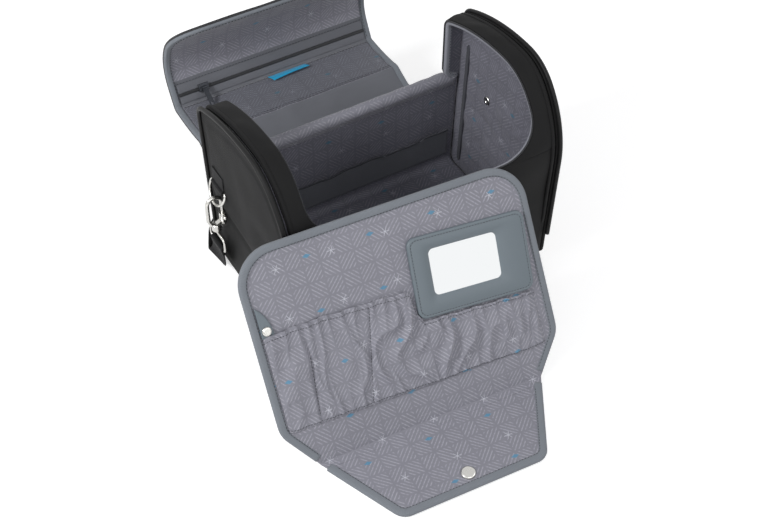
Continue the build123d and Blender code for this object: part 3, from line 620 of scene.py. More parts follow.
def lay(piece):
    """Measures a sheet's area on its own map, and gathers the places of that map."""
    # A thickened sheet has two faces, and its map counts both
    layer, area = piece.data.uv_layers[0].data, 0.0
    for polygon in piece.data.polygons:
        spots = [layer[k].uv for k in polygon.loop_indices]
        area += abs(sum(a.x * b.y - b.x * a.y for a, b in zip(spots, spots[1:] + spots[:1]))) / 2
    spots = np.array([tuple(d.uv) for d in layer])


# %% [markdown]
# ## Body shell and lining
# The floor, front and back are one run of padded polyester between the two side panels, with
# the printed lining inside. The cloth is fullest in the middle of each face and tight at the
# seams, and the lining is a little too large, so it ripples.

# %% Body shell and lining
FRONT_S, BACK_S = float(front_at(RIM_Z - 2)), ROUND + FOLD_S - 0.3


def run_of(s, inset, columns):
    """Distances and places across the bag for a run of the outline, right up to the sides."""
    _, z = on_outline(s, 0)
    t = np.linspace(-1, 1, columns)
    return (side_x(z) - inset)[:, None] * t[None, :], s[:, None] + 0 * t[None, :], t


def outward(s):
    """Directions out of the outline."""
    heading = np.radians(np.interp(np.mod(s, ROUND), OUTLINE[:, 0], OUTLINE[:, 3]) - 90)
    return np.stack(np.broadcast_arrays(0.0, np.cos(heading), np.sin(heading)), -1)


s = np.linspace(FRONT_S, BACK_S, 150)
x, along, t = run_of(s, WALL, 61)
places, out = on_bag(x, along, 0.0), outward(along)
upright = np.clip(1 - np.abs(out[..., 2]) * 2, 0, 1)
full = (1 - t[None, :] ** 4) * upright
places = places + out * (1.8 * full)[..., None]
places = rumple(places, out * upright[..., None], 1.6, 46, 3)
shell = sheet("body_shell", places, np.stack((x, along), -1), 3.6, [black_cloth], out)
sew(shell, "bag", "black_fabric", "front_panel", "bottom_panel", "back_panel")

s = np.linspace(FRONT_S, BACK_S, 190)
x, along, t = run_of(s, 6.4, 91)
places, out = on_bag(x, along, WALL), -outward(along)
at_rim = float(upright[0].max())  # the shell's share at its front rim serves the whole lining
loose = out * ((1 - np.abs(t[None, :]) ** 6) * at_rim)[..., None]
places = rumple(rumple(places, loose, 1.3, 30, 9), loose, 0.7, 11, 4)
# The lining takes the print painted darker, as painted shade inside the bag
lining = sheet("body_lining", places, np.stack((x, along), -1), 1.0, [satin_painted_shade], out)
sew(lining, "bag", "grey_print", "front_lining", "bottom_lining", "back_lining")
lay(lining)
print("body shell and lining:", len(shell.data.polygons), len(lining.data.polygons), "faces")

# %% [markdown]
# ## Side panels
# Each side is a D-shaped pad. It is drawn as rings from its middle out to the edge, so that it
# can swell in the middle and still meet the piping exactly. A shallow groove near the edge
# shows where the turned-in seam allowance ends, and a soft crease crosses the panel.

# %% Side panels
SIDE_MIDDLE, SIDE_STEPS = 112, 220


def side_grid(rings, shrink):
    """(y, z) of rings that grow from the middle of a side to its outline, and their share."""
    y, z = on_outline(np.linspace(0, ROUND, SIDE_STEPS, endpoint=False), shrink)
    share = np.linspace(0.02, 1, rings)
    return share[:, None] * y[None, :], SIDE_MIDDLE + share[:, None] * (z - SIDE_MIDDLE)[None, :], share


def closed_rings(name, places, cloth_map, thickness, finishes, out):
    """A sheet of rings, closed at its middle by a fan of faces."""
    rows, columns = places.shape[:2]
    middle = rows * columns
    fan = [(middle, (c + 2) % columns, c + 1, c) for c in range(0, columns, 2)]
    places = np.vstack([places.reshape(-1, 3), places[0].mean(0)])
    cloth_map = np.vstack([cloth_map.reshape(-1, 2), cloth_map[0].mean(0)])
    piece = build(name, places, grid_faces(rows, columns, True) + fan, cloth_map, finishes, out)
    return use(piece, "SOLIDIFY", thickness=thickness * MM, offset=-1, use_even_offset=False)


for name, side in (("left", -1), ("right", 1)):
    y, z, share = side_grid(40, 0)
    out = np.array([side, 0.0, -LEAN])
    puff = 3.4 * (1 - share[:, None] ** 5) - 0.9 * np.exp(-((share[:, None] - 0.9) / 0.02) ** 2)
    sag = 1.5 * np.exp(-((z - 96 - 0.1 * y) / 5) ** 2) * (share[:, None] < 0.93)
    x = side * (side_x(z) + puff - sag)
    places = np.stack((x, y, z), -1)
    places = rumple(places, out * (1 - share[:, None, None] ** 6), 1.6, 38, 6 + side)
    panel = closed_rings(f"{name}_side", places, np.stack((y, z), -1), 3.4, [black_cloth], out)
    sew(panel, "bag", "black_fabric", f"{name}_side_panel")

    y, z, share = side_grid(46, 3.0)
    x = side * (side_x(z) - WALL)
    places = np.stack((x, y, z), -1)
    fullness = -out * (1 - share[:, None, None] ** 8)
    places = rumple(rumple(places, fullness, 2.2, 26, 12 + side), fullness, 1.0, 9, 15)
    # The side's lining takes the print painted darker, as painted shade inside the bag
    inner = closed_rings(f"{name}_side_cloth", places, np.stack((y, z), -1), 0.9, [satin_painted_shade], -out)
    sew(inner, "bag", "grey_print", f"{name}_side_lining")
    lay(inner)
print("side panels:", len(panel.data.polygons), "faces each")

# %% [markdown]
# ## Strips beside the opening
# On each side a strip of the shell joins the side panel to the lid's opening, from the fold
# over the top and down to the front rim. It is sampled closely round the rim's corner, where
# its inner edge turns fastest.

# %% Rim strips
corner_turn = np.radians(np.linspace(4, 90, 26))
STRIP_S = np.concatenate([np.linspace(FOLD_S + 0.3, FOLD_S + 34, 40),
                          np.linspace(FOLD_S + 36, CORNER_S, 70),
                          front_at(CORNER_Z - (CORNER_R + 2) * np.sin(corner_turn))])
for name, side in (("left", -1), ("right", 1)):
    _, z = on_outline(STRIP_S, 0)
    edge, end = half_width(STRIP_S, 2), side_x(z) - WALL
    t = np.linspace(0, 1, 22)
    x = side * (edge[:, None] + (end - edge)[:, None] * t[None, :])
    along = STRIP_S[:, None] + 0 * t[None, :]
    out = outward(along)
    swell = np.sin(pi * t) * np.clip((end - edge) / 14, 0, 1)[:, None]
    places = on_bag(x, along, 0) + out * (1.4 * swell)[..., None]
    places = rumple(places, out * swell[..., None], 1.5, 24, 21 + side)
    strip = sheet(f"{name}_rim_shell", places, np.stack((x, along), -1), 3.6, [black_cloth], out)
    sew(strip, "bag", "black_fabric", f"{name}_rim_strip")
    places = rumple(on_bag(x, along, WALL), -out * swell[..., None], 1.2, 14, 31 + side)
    # The strip's lining takes the print painted darker, as painted shade inside the bag
    under = sheet(f"{name}_rim_cloth", places, np.stack((x, along), -1), 0.9, [satin_painted_shade], -out)
    sew(under, "bag", "grey_print")
    lay(under)
print("rim strips:", len(strip.data.polygons), "faces each")

# %% [markdown]
# ## Piping and the rolled rim
# A rolled edge runs up the back, over the top and down the front of each side, with a second,
# softer roll beside it on the strip. Both are drawn as round tapes along the outline.

# %% Piping
for name, side in (("left", -1), ("right", 1)):
    s = np.linspace(0.5, float(front_at(20)), 220)
    y, z = on_outline(s, -1.2)
    path = np.stack((side * (side_x(z) + 1.4), y, z), -1)
    roll = tape(f"{name}_roll", path, outward(s), rounded(5.2, 5.2, steps=3), [black_rolled])
    sew(roll, "bag", "black_piping", f"{name}_piping")
    s = np.linspace(FOLD_S + 4, float(front_at(60)), 180)
    y, z = on_outline(s, -0.2)
    path = np.stack((side * (side_x(z) - 8.5), y, z), -1)
    second = tape(f"{name}_second_roll", path, outward(s), rounded(4.6, 3.4, steps=3), [black_cloth], 8)
    sew(second, "bag", "black_fabric")
print("piping:", len(roll.data.polygons), "faces each")

# %% [markdown]
# ## Binding and zip round the opening
# The cut edge of the opening is bound with pale ribbed tape and sewn through with dark thread.
# Half of the zip stands out of it. One path round the opening serves all three.

# %% Rim binding and zip
FRONT_ARC = np.radians(np.linspace(2, 90, 34))
FRONT_X = np.linspace(-CORNER_X, CORNER_X, 32)[1:-1]


def edge_path(margin, start, end, count):
    """x and distance along one side of the opening, with the front corner where it reaches it."""
    s = np.linspace(start, min(end, CORNER_S), count)
    x = half_width(s, margin)
    if end > CORNER_S:
        s = np.concatenate([s, front_at(CORNER_Z - (CORNER_R + margin) * np.sin(FRONT_ARC))])
        x = np.concatenate([x, CORNER_X + (CORNER_R + margin) * np.cos(FRONT_ARC)])
    return x, s


def round_front(x, s):
    """Carries one side's path across the front and back along the other side."""
    return (np.concatenate([-x, FRONT_X, x[::-1]]),
            np.concatenate([s, np.full(len(FRONT_X), s[-1]), s[::-1]]))


def opening_path(margin, start):
    """The path round the body's opening, from the left of the fold round the front."""
    return round_front(*edge_path(margin, start, ROUND, 150))


x, s = opening_path(5.5, FOLD_S + 1)
bound = tape("rim_edge", on_bag(x, s, 4.4), outward(s), rounded(7.6, 6.0, 2.2), [rim_tape])
sew(bound, "bag", "grey_binding", "rim_binding")
x, s = opening_path(7.2, FOLD_S + 6)
rim_seam = stitches("rim_stitches", on_bag(x, s, 7.5), -outward(s))
sew(rim_seam, "bag", "grey_binding")
x, s = opening_path(1.3, FOLD_S + 17)
coil = tape("rim_coil", on_bag(x, s, 1.8), outward(s), rounded(1.3, 2.2, 0.5), [zip_tape])
sew(coil, "bag", "zip_black", "rim_zip")
print("rim binding:", len(bound.data.polygons), "faces")

# %% [markdown]
# ## Inside the bag
# A low pocket with a gathered edge runs across the back, and dark tapes run up the inside of
# each side, near the back and near the front.

# %% Back pocket and seam tapes
POUCH_FOOT, POUCH_TOP = 18, 58


def pouch_top(u):
    """The wavy height of the back pocket's gathered edge."""
    return POUCH_TOP + 1.6 * np.sin(u / 17) + 0.8 * np.sin(u / 6.1 + 1)


u, w = np.meshgrid(np.linspace(-151, 151, 160), np.linspace(0, 1, 26))
height = POUCH_FOOT + w * (pouch_top(u) - POUCH_FOOT)
wave = w ** 3 * (0.9 * np.sin(u / 4.2) + 0.7 * np.sin(u / 9.3 + 2))
pocket = np.stack((u, HALF_D - 6.4 - 0.9 * w - np.maximum(wave, -0.6), height), -1)
pocket = sheet("back_pouch", pocket, np.stack((u, height), -1), 0.6, [dark_grey], np.array([0, -1.0, 0]))
sew(pocket, "bag", "grey_print", "back_pocket")
lay(pocket)
u = np.linspace(-151, 151, 200)
path = np.stack((u, HALF_D - 7.9 + 0 * u, pouch_top(u) - 0.5), -1)
hem = tape("pouch_hem", path, np.array([0, -1.0, 0]), rounded(2.6, 1.4), [seam_tape])
sew(hem, "bag", "grey_binding")
tapes = []
for side in (-1, 1):
    for y in (79.0, -60.0):
        z = np.linspace(15, 197, 50)
        path = np.stack((side * (side_x(z) - 6.0), np.full(50, y), z), -1)
        tapes.append(tape(f"seam_tape_{len(tapes)}", path, np.array([-side, 0, 0.0]),
                          rounded(6.0, 2.6), [seam_tape], 4))
for k, piece in enumerate(tapes):
    sew(piece, "bag", "grey_binding", *(["seam_bindings"] if k == 0 else []))
print("inside:", len(tapes), "seam tapes")

# %% [markdown]
# ## Lid
# The lid's shell and lining are each cut once, in the middle of the top field. Each part then crosses only
# one seam. The net pocket lies over the lining's cut.

# %% Lid shell and lining
LID_CUT = 281.0


def lid_run(start, end):
    """Places across the lid between two distances, up to its edge."""
    s = np.linspace(start, min(end, CORNER_S), 70)
    if end > CORNER_S:
        corner = front_at(CORNER_Z - (CORNER_R - 2) * np.sin(np.radians(np.linspace(0, 88, 24))))
        s = np.concatenate([s, corner[1:]])
    t = np.linspace(-1, 1, 61)
    x = (half_width(s, -2) - 0.2)[:, None] * t[None, :]
    return x, s[:, None] + 0 * t[None, :], t


def lid_out(x, s, depth):
    """Directions out of the lid's lined face."""
    step = on_lid(x, s, depth + 1) - on_lid(x, s, depth)
    return step / np.linalg.norm(step, axis=-1, keepdims=True)


SEAM_2_REACH = Vector((0, cos(radians(31)), sin(radians(31)))) * 6
for part, start, end, plain in (("back", FOLD_S + 0.6, LID_CUT, (FOLD_S, 249.0)),
                                ("front", LID_CUT, LID_END, (312.0, 346.0))):
    x, s, t = lid_run(start, end)
    out = -lid_out(x, s, 0)
    swell = (1 - t[None, :] ** 4)[..., None]
    calm = 1 - 0.8 * np.exp(-((s - FOLD_S) / 9) ** 2)
    places = rumple(on_lid(x, s, 0), out * swell * calm[..., None], 1.3, 40, 41)
    cover = sheet(f"lid_{part}_cover", places, np.stack((x, s), -1), 3.6, [black_cloth], out)
    places = rumple(on_lid(x, s, WALL), -out * swell * calm[..., None], 1.1, 22, 44)
    faced = sheet(f"lid_{part}_cloth", places, np.stack((x, s), -1), 0.9, [satin_light, dark_grey], -out)
    layer = faced.data.uv_layers[0].data  # faces between the two plain distances are unprinted
    for polygon in faced.data.polygons:
        here = sum(layer[k].uv[1] for k in polygon.loop_indices) / len(polygon.loop_indices) / MM
        polygon.material_index = int(plain[0] < here < plain[1])
    if part == "back":
        bend(cover, ("lid_back", "lid_top"), SEAM_1_OPEN, 6, "black_fabric", "lid_back_shell")
        bend(faced, ("lid_back", "lid_top"), SEAM_1_OPEN, 6, "grey_print", "lid_back_lining")
    else:
        bend(cover, ("lid_top", "lid_front"), SEAM_2_OPEN, SEAM_2_REACH, "black_fabric",
             "lid_top_shell", "lid_front_shell")
        bend(faced, ("lid_top", "lid_front"), SEAM_2_OPEN, SEAM_2_REACH, "grey_print",
             "lid_top_lining", "lid_front_lining")
    lay(faced)
print("lid:", len(cover.data.polygons), len(faced.data.polygons), "faces in its front part")

# %% [markdown]
# ## The fold
# Where the lid turns back, the lining runs over the fold as a soft roll and catches the light.

# %% Fold strip
s = np.linspace(FOLD_S - 9, FOLD_S + 15, 40)
reach = np.where(s < FOLD_S, 157.0, half_width(s, -2) - 0.5)
reach = np.convolve(np.pad(reach, 3, mode="edge"), np.ones(7) / 7, "valid")  # a running mean
t = np.linspace(-1, 1, 91)
x, along = reach[:, None] * t[None, :], s[:, None] + 0 * t[None, :]
raised = 5.5 + 1.6 * np.exp(-((along - FOLD_S) / 7) ** 2)
places = on_lid(x, along, raised, 7.0)
out = on_lid(x, along, raised + 1, 7.0) - places
places = rumple(places, out, 0.8, 12, 51)
over = run_length(places[:, 45])[:, None] + 0 * t[None, :]
fold_strip = sheet("fold_roll", places, np.stack((x, over), -1), 0.9, [satin_light], out)
bend(fold_strip, ("bag", "lid_back"), (0, 103.2, 138), 2.2, "grey_print")
lay(fold_strip)
print("fold strip:", len(fold_strip.data.polygons), "faces")

# %% [markdown]
# ## Lid binding and zip
# A grey ribbed tape binds the lid's edge over the other half of the zip. It is cut where the lining is cut,
# so that each length crosses one seam only.

# %% Lid binding and zip
for name, node, margin, depth, section, finish, slot, foot in (
        ("binding", "binding", -5.0, 4.2, rounded(7.6, 6.0, 2.4), grey_tape, "grey_binding", 6),
        ("coil", "zip", -1.5, 1.8, rounded(1.3, 2.2, 0.5), zip_tape, "zip_black", 17)):
    x, s = edge_path(margin, FOLD_S + foot, LID_CUT, 90)
    for side_name, side in (("left", -1), ("right", 1)):
        piece = tape(f"lid_{side_name}_{name}", on_lid(side * x, s, depth), lid_out(side * x, s, depth),
                     section, [finish])
        nodes = [f"lid_back_{node}"] if side < 0 else []
        bend(piece, ("lid_back", "lid_top"), SEAM_1_OPEN, 6, slot, *nodes)
    x, s = round_front(*edge_path(margin, LID_CUT, LID_END, 90))
    piece = tape(f"lid_front_{name}_tape", on_lid(x, s, depth), lid_out(x, s, depth), section, [finish])
    bend(piece, ("lid_top", "lid_front"), SEAM_2_OPEN, SEAM_2_REACH, slot, f"lid_top_{node}",
         f"lid_front_{node}")
x, s = round_front(*edge_path(-8.0, 320.0, LID_END, 90))
edge_seam = stitches("lid_edge_stitches", on_lid(x, s, 7.4), lid_out(x, s, 7.4))
sew(edge_seam, "lid_front", "grey_binding")
print("lid binding:", len(piece.data.polygons), "faces in its front part")

# %% [markdown]
# ## Net pocket and pocket zip
# The net is drawn in the material and not thread by thread, because its threads are hardly told
# apart from here. The cloth bows a little between its two sewn edges. Each side of the zip's
# tape is a flat band beside the teeth.

# %% Net pocket and pocket zip
t = np.linspace(-1, 1, 121)
s = np.linspace(SEAM_1_S + 2, SEAM_2_S - 1.5, 46)
x, along = 131.0 * t[None, :] + 0 * s[:, None], s[:, None] + 0 * t[None, :]
lift = 5.9 + 1.1 * np.sin(pi * (along - s[0]) / (s[-1] - s[0])) * (1 - t[None, :] ** 6)
net_places = on_lid(x, along, lift)
net = sheet("net_pocket", rumple(net_places, lid_out(x, along, lift), 1.0, 24, 61),
            np.stack((x, along), -1), 0.5, [satin_net], lid_out(x, along, lift))
sew(net, "lid_top", "grey_mesh", "mesh_pocket")
lay(net)
for name, at, body in (("first", SEAM_1_S + 3.6, "lid_top"), ("second", SEAM_2_S - 3.2, "lid_top"),
                       ("third", 342.5, "lid_front")):
    x = np.linspace(-129, 129, 120)
    seam = stitches(f"lid_{name}_stitches", on_lid(x, at + 0 * x, 6.7), lid_out(x, at + 0 * x, 6.7))
    sew(seam, body, "grey_binding")
x = np.linspace(-131, 131, 121)
for name, at, wide in (("low", 321.0, 9.0), ("high", 335.5, 11.0)):
    strip = tape(f"pocket_tape_{name}", on_lid(x, at + 0 * x, 5.6), lid_out(x, at + 0 * x, 5.6),
                 rounded(wide, 1.0, 0.45), [dark_grey])
    sew(strip, "lid_front", "grey_print", *(["pocket_zip"] if name == "low" else []))
teeth = tape("pocket_teeth", on_lid(x, 327.5 + 0 * x, 6.1), lid_out(x, 327.5 + 0 * x, 6.1),
             rounded(4.0, 1.8, 0.8), [zip_tape])
sew(teeth, "lid_front", "zip_black")
print("lid pocket:", len(net.data.polygons), "faces")

# %% [markdown]
# ## Label
# A short length of plain blue ribbon is caught in the seam and stands up a little.

# %% Label
LABEL_LEFT, LABEL_WIDTH, LABEL_DROP = -14, 52, 14
t, v = np.meshgrid(np.linspace(0, 1, 24), np.linspace(0, 1, 12))
x = LABEL_LEFT + LABEL_WIDTH * t + 3.0 * v
along = 312.0 - 13.5 * v * (1 - 0.25 * t)
depth = 6.9 + 4.0 * np.sin(v * 1.5) + 1.2 * v * np.sin(3 * t)
flag = sheet("ribbon_label", on_lid(x, along, depth), np.stack((LABEL_WIDTH * t, LABEL_DROP * v), -1),
             0.5, [ribbon], lid_out(x, along, depth))
sew(flag, "lid_top", "blue_ribbon", "label")
lay(flag)
print("label:", len(flag.data.polygons), "faces")

# %% [markdown]
# ## Carry handle
# A webbing handle is sewn to the outside of the lid with two patches. It hangs below the open
# lid.

# %% Handle
SEAM_MID = (SEAM_1_S + SEAM_2_S) / 2


def handle_line(x, rise):
    """Places over the middle of the lid's outside, so far out of it."""
    return on_lid(x, SEAM_MID + 0 * x, -rise)


x = np.linspace(-78, 78, 140)
rise = 3.2 + 23 * ease((68 - np.abs(x)) / 30)
path = handle_line(x, rise)
grip = tape("carry_handle", path, -lid_out(x, SEAM_MID + 0 * x, 0), rounded(25, 3.0, 1.3), [webbing])
sew(grip, "lid_top", "black_webbing", "lid_handle")
for k, centre in enumerate((-69, 69)):
    x = np.linspace(centre - 17, centre + 17, 30)
    patch = tape(f"handle_patch_{k}", handle_line(x, 1.2 + 0 * x), -lid_out(x, SEAM_MID + 0 * x, 0),
                 rounded(33, 2.2, 1.0), [black_cloth], 3)
    sew(patch, "lid_top", "black_webbing", *(["handle_patches"] if k == 0 else []))
print("handle:", len(grip.data.polygons), "faces")

# %% [markdown]
# ## Strap and ring tabs
# The strap is webbing, sewn round an eye at each end. It drops, twists onto its edge and runs
# along the floor behind the bag. A few places set its way, and a smooth line is drawn through
# them. The ring tabs are folded from webbing of about the same width.

# %% Strap and tabs
bar_low, bar_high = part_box("left_strap_eye")
EYE_X = float((bar_low[0] + bar_high[0]) / 2) / MM
EYE_Y, EYE_BAR_Z = 66.0, float(bar_low[2]) / MM + 1.5
STRAP_WIDTH, TAB_WIDTH, RING_BAR_Z = 28, 27, 140
EYE_WRAP_R, RING_WRAP_R, STEPS_PER_RUN = 2.5, 2.8, 12
STATIONS = [((EYE_X, EYE_Y, EYE_BAR_Z - 3), (0, 1, 0)), ((EYE_X, EYE_Y, EYE_BAR_Z - 9), (0, 1, 0)),
            ((-181, 70, 28), (-0.15, 0.95, 0.15)), ((-180, 80, 17.5), (-0.35, 0.55, 0.6)),
            ((-176, 96, 15), (-0.3, 0.2, 0.9)), ((-167, 119, 14.8), (-0.1, 0, 1)),
            ((-148, 137, 14.6), (0, 0, 1)), ((-118, 147, 14.4), (0, 0, 1)),
            ((-70, 150, 14.4), (0, 0, 1)), ((0, 150, 14.4), (0, 0, 1))]
half = np.array([(*p, *a) for p, a in STATIONS], float)
other = half[-2::-1] * np.array([-1, 1, 1, -1, 1, 1])
line = np.vstack([half, other])


def through(points, steps):
    """A smooth line through places, each run divided into so many steps."""
    padded_points = np.vstack([2 * points[0] - points[1], points, 2 * points[-1] - points[-2]])
    made = []
    for a, b, c, d in zip(padded_points, padded_points[1:], padded_points[2:], padded_points[3:]):
        for t in np.linspace(0, 1, steps, endpoint=False):
            made.append(0.5 * (2 * b + (c - a) * t + (2 * a - 5 * b + 4 * c - d) * t ** 2
                               + (3 * b - a - 3 * c + d) * t ** 3))
    return np.array(made + [points[-1]])


def folded_webbing(name, points, step, width):
    """Webbing folded through places, its width lying from front to back."""
    path = resampled(points, step)
    up = np.cross(np.gradient(path, axis=0), (0, 1.0, 0))
    return tape(name, path, up, rounded(width, 1.6, 0.7), [webbing])


route = through(line, STEPS_PER_RUN)
path, across = route[:, :3], route[:, 3:]
up = np.cross(across, np.gradient(path, axis=0))
strap = tape("strap_webbing", path, up, rounded(STRAP_WIDTH, 2.0, 0.8), [webbing])
sew(strap, "bag", "black_webbing", "shoulder_strap")
for name, side in (("left", -1), ("right", 1)):
    eye_x, foot = abs(EYE_X), EYE_BAR_Z - 9
    turn = np.radians(np.linspace(0, 180, 20))
    loop = [(side * (eye_x - EYE_WRAP_R * cos(a)), EYE_Y, EYE_BAR_Z + EYE_WRAP_R * sin(a)) for a in turn]
    loop = [(side * (eye_x - 0.9), EYE_Y, foot), *loop, (side * (eye_x + 0.9), EYE_Y, foot)]
    sew(folded_webbing(f"{name}_strap_loop", loop, 0.8, STRAP_WIDTH), "bag", "black_webbing")
    bar_x, turn = side * (side_x(RING_BAR_Z) + 4.6), np.radians(np.linspace(90, -90, 20))
    around = [(bar_x + side * RING_WRAP_R * cos(a), EYE_Y, RING_BAR_Z + RING_WRAP_R * sin(a)) for a in turn]
    folded = [(side * (side_x(161) + 3.6), EYE_Y, 161.0), (side * (side_x(152) + 4.2), EYE_Y, 152.0),
              *around, (side * (side_x(134) + 1.4), EYE_Y, 137.5),
              (side * (side_x(148) + 1.2), EYE_Y, 148.0), (side * (side_x(161) + 1.2), EYE_Y, 161.0)]
    tab = folded_webbing(f"{name}_tab_webbing", folded, 1.2, TAB_WIDTH)
    sew(tab, "bag", "black_webbing", f"{name}_ring_tab")
print("strap:", round(float(run_length(route[:, :3])[-1])), "mm long")

# %% [markdown]
# ## Organizer
# The organizer is a thin padded board in printed satin with a ribbed binding. Its flap folds
# up along the bottom. Both are drawn row by row between their curved edges, on planes of their
# own, and a strip of the same cloth crosses the fold.

# %% Organizer board and flap
ORG_AT = np.array([-79.6, -245.2, 5.3])
org_yaw, org_lean = radians(-4.35), radians(34.5)
U = np.array([cos(org_yaw), sin(org_yaw), 0.0])
AHEAD = np.array([sin(org_yaw), -cos(org_yaw), 0.0])
OUT = AHEAD * cos(org_lean) + np.array([0, 0, sin(org_lean)])
UP = np.cross(OUT, U)
SKY = np.array([0, 0, 1.0])


def on_board(u, w, lift):
    """Places on the standing board: along it, up it and out of its printed face."""
    u, w, lift = (np.asarray(k, float)[..., None] for k in np.broadcast_arrays(u, w, lift))
    return ORG_AT + u * U + w * UP + lift * OUT


def on_flap(u, w, lift):
    """Places on the flap, which lies on the floor in front."""
    u, w, lift = (np.asarray(k, float)[..., None] for k in np.broadcast_arrays(u, w, lift))
    return ORG_AT + u * U + w * AHEAD + lift * SKY


def rounded_line(corners, radii, steps=14):
    """A path through corners, each rounded to its radius."""
    made = []
    for k, (corner, radius) in enumerate(zip(corners, radii)):
        corner = np.array(corner, float)
        if radius == 0:
            made.append(corner)
            continue
        before, after = np.array(corners[k - 1], float), np.array(corners[(k + 1) % len(corners)], float)
        a, b = before - corner, after - corner
        a, b = a / np.linalg.norm(a), b / np.linalg.norm(b)
        half_angle = np.arccos(np.clip(a @ b, -1, 1)) / 2
        cut = radius / np.tan(half_angle)
        centre = corner + (a + b) / np.linalg.norm(a + b) * radius / np.sin(half_angle)
        first, last = corner + a * cut - centre, corner + b * cut - centre
        start = np.arctan2(first[1], first[0])
        swing = (np.arctan2(last[1], last[0]) - start + pi) % (2 * pi) - pi
        made += [centre + radius * np.array([cos(start + swing * i / steps), sin(start + swing * i / steps)])
                 for i in range(steps + 1)]
    return np.array(made)


board_edge = rounded_line([(-135.5, 0), (-167, 44), (-167, 244), (167, 244), (167, 44), (135.5, 0)],
                          [0, 30, 43, 43, 30, 0])
flap_edge = rounded_line([(-135.5, 0), (-86, 97), (86, 97), (135.5, 0)], [0, 18, 18, 0])


def half_at(edge, w):
    """Half the width of an outline at a height."""
    side = edge[edge[:, 0] > 0]
    order = np.argsort(side[:, 1])
    return np.interp(w, side[order, 1], side[order, 0])


def board_rows(edge, start, end, inset):
    """Rows between an outline's curved edges, closer together where it turns."""
    turning = end - 30 * np.cos(np.linspace(0, pi / 2, 36))
    w = np.unique(np.concatenate([np.linspace(start, end - 30, 60), turning]))
    t = np.linspace(-1, 1, 121)
    u = (half_at(edge, w) - inset)[:, None] * t[None, :]
    return u, w[:, None] + 0 * t[None, :], t


for name, place, edge, top, thick, body, node, face in (
        ("board", on_board, board_edge, 240.5, 5.2, "organizer", "organizer_panel", OUT),
        ("flap_board", on_flap, flap_edge, 93.5, 4.6, "flap", "flap_panel", SKY)):
    u, w, t = board_rows(edge, 0.6, top, 3.6)
    soft = (1 - np.abs(t[None, :]) ** 8) * np.clip((top - w) / 14, 0, 1) ** 0.5 * np.clip(w / 10, 0, 1)
    places = place(u, w, -0.3 + 0.5 * soft)
    places = rumple(places, face * soft[..., None], 0.9, 42, 71)
    places = rumple(places, face * soft[..., None], 0.35, 12, 73)
    sign = 1 if body == "organizer" else -1
    pad = sheet(name, places, np.stack((u, sign * w), -1), thick, [satin_light], face)
    sew(pad, body, "grey_print", node)
print("organizer board:", len(pad.data.polygons), "faces in the flap")

# %% [markdown]
# ## Organizer binding
# The same ribbed tape binds the board and its flap, and is sewn down with dark thread. Both
# stop a little short of the fold, so that nothing meets when the flap is folded up.

# %% Organizer binding
BINDING_FOOT, SEAM_FOOT = 6.5, 12  # mm from the fold


def inset_line(edge, amount):
    """An open outline that runs clockwise, drawn in towards its middle."""
    ahead = np.gradient(edge, axis=0)
    side = np.stack((ahead[:, 1], -ahead[:, 0]), -1)
    side /= np.linalg.norm(side, axis=1, keepdims=True)
    return edge + side * amount


board_line, flap_line = resampled(board_edge, 2.5), resampled(flap_edge, 2.5)
board_in, flap_in = inset_line(board_line, 4.6), inset_line(flap_line, 4.6)
board_in, flap_in = board_in[board_in[:, 1] > BINDING_FOOT], flap_in[flap_in[:, 1] > BINDING_FOOT]
path = on_board(board_in[:, 0], board_in[:, 1], -2.3)
piece = tape("board_binding", path, OUT, rounded(9.4, 7.2, 2.9), [grey_tape])
sew(piece, "organizer", "grey_binding", "organizer_binding")
path = on_flap(flap_in[:, 0], flap_in[:, 1], -1.75)
piece = tape("flap_edge_binding", path, SKY, rounded(9.4, 6.6, 2.9), [grey_tape])
sew(piece, "flap", "grey_binding", "flap_binding")
for name, edge, place, face, body in (("board", board_line, on_board, OUT, "organizer"),
                                      ("flap", flap_line, on_flap, SKY, "flap")):
    line = inset_line(edge, 8.0)
    line = line[line[:, 1] > SEAM_FOOT]
    seam = stitches(f"{name}_stitches", place(line[:, 0], line[:, 1], 1.25), face, 3.6, 2.3, 0.3)
    sew(seam, body, "grey_binding")
print("organizer binding:", len(piece.data.polygons), "faces on the flap")

# %% [markdown]
# ## Gathered pocket
# Elastic along its top and foot draws the pocket into pleats, which open into a few broad
# folds half way up. Two sewn lines part it. The height of the cloth is a sum of these, brought
# down close to the board at every seam.

# %% Gathered pocket
POCKET_TOP = np.array([(-159, 149), (-150, 153), (-93, 153), (-42, 150), (5, 147), (8.5, 143), (10, 119),
                       (16, 109), (80, 104), (148, 98)], float)
POCKET_FOOT = np.array([(-159, 46), (-153, 43), (-42, 40), (13, 38), (69, 38), (126, 35), (148, 36)], float)
POCKET_LEFT, POCKET_RIGHT, POCKET_ROWS = -157, 148, 110
u, v = np.meshgrid(np.linspace(POCKET_LEFT, POCKET_RIGHT, 380), np.linspace(0, 1, POCKET_ROWS))
foot =np.interp(u, POCKET_FOOT[:, 0], POCKET_FOOT[:, 1])
top = np.interp(u, POCKET_TOP[:, 0], POCKET_TOP[:, 1]) + 0.7 * np.sin(u / 5.3)
w = foot + v * (top - foot)
wander = [noise.noise(Vector((a / 34, b / 60, 2.0))) for a, b in zip(u.ravel(), w.ravel())]
wander = np.array(wander).reshape(u.shape)
fine = (1 - np.abs(np.sin(u / 4.4 + 2.6 * wander))) ** 1.3 * (0.6 + 0.6 * np.sin(u / 11 + 1) ** 2)
broad = (1 - np.abs(np.sin(u / 10.5 + 4.2 * wander + 0.6 * np.sin(w / 27)))) ** 1.2
broad = broad * (0.8 + 0.4 * np.sin(u / 37 + 0.8))
slant = (1 - np.abs(np.sin((u + 0.55 * w) / 21 + 2.2 * wander))) ** 3
lift = (0.9 + 3.4 * fine * (np.exp(-(1 - v) * 5.5) + np.exp(-v * 5.0))
        + (5.0 * broad + 2.6 * slant) * np.sin(pi * v) ** 0.7)
divide = [np.interp(w, (54, 114), (-120, -114)), np.interp(w, (52, 143), (-60, -39))]
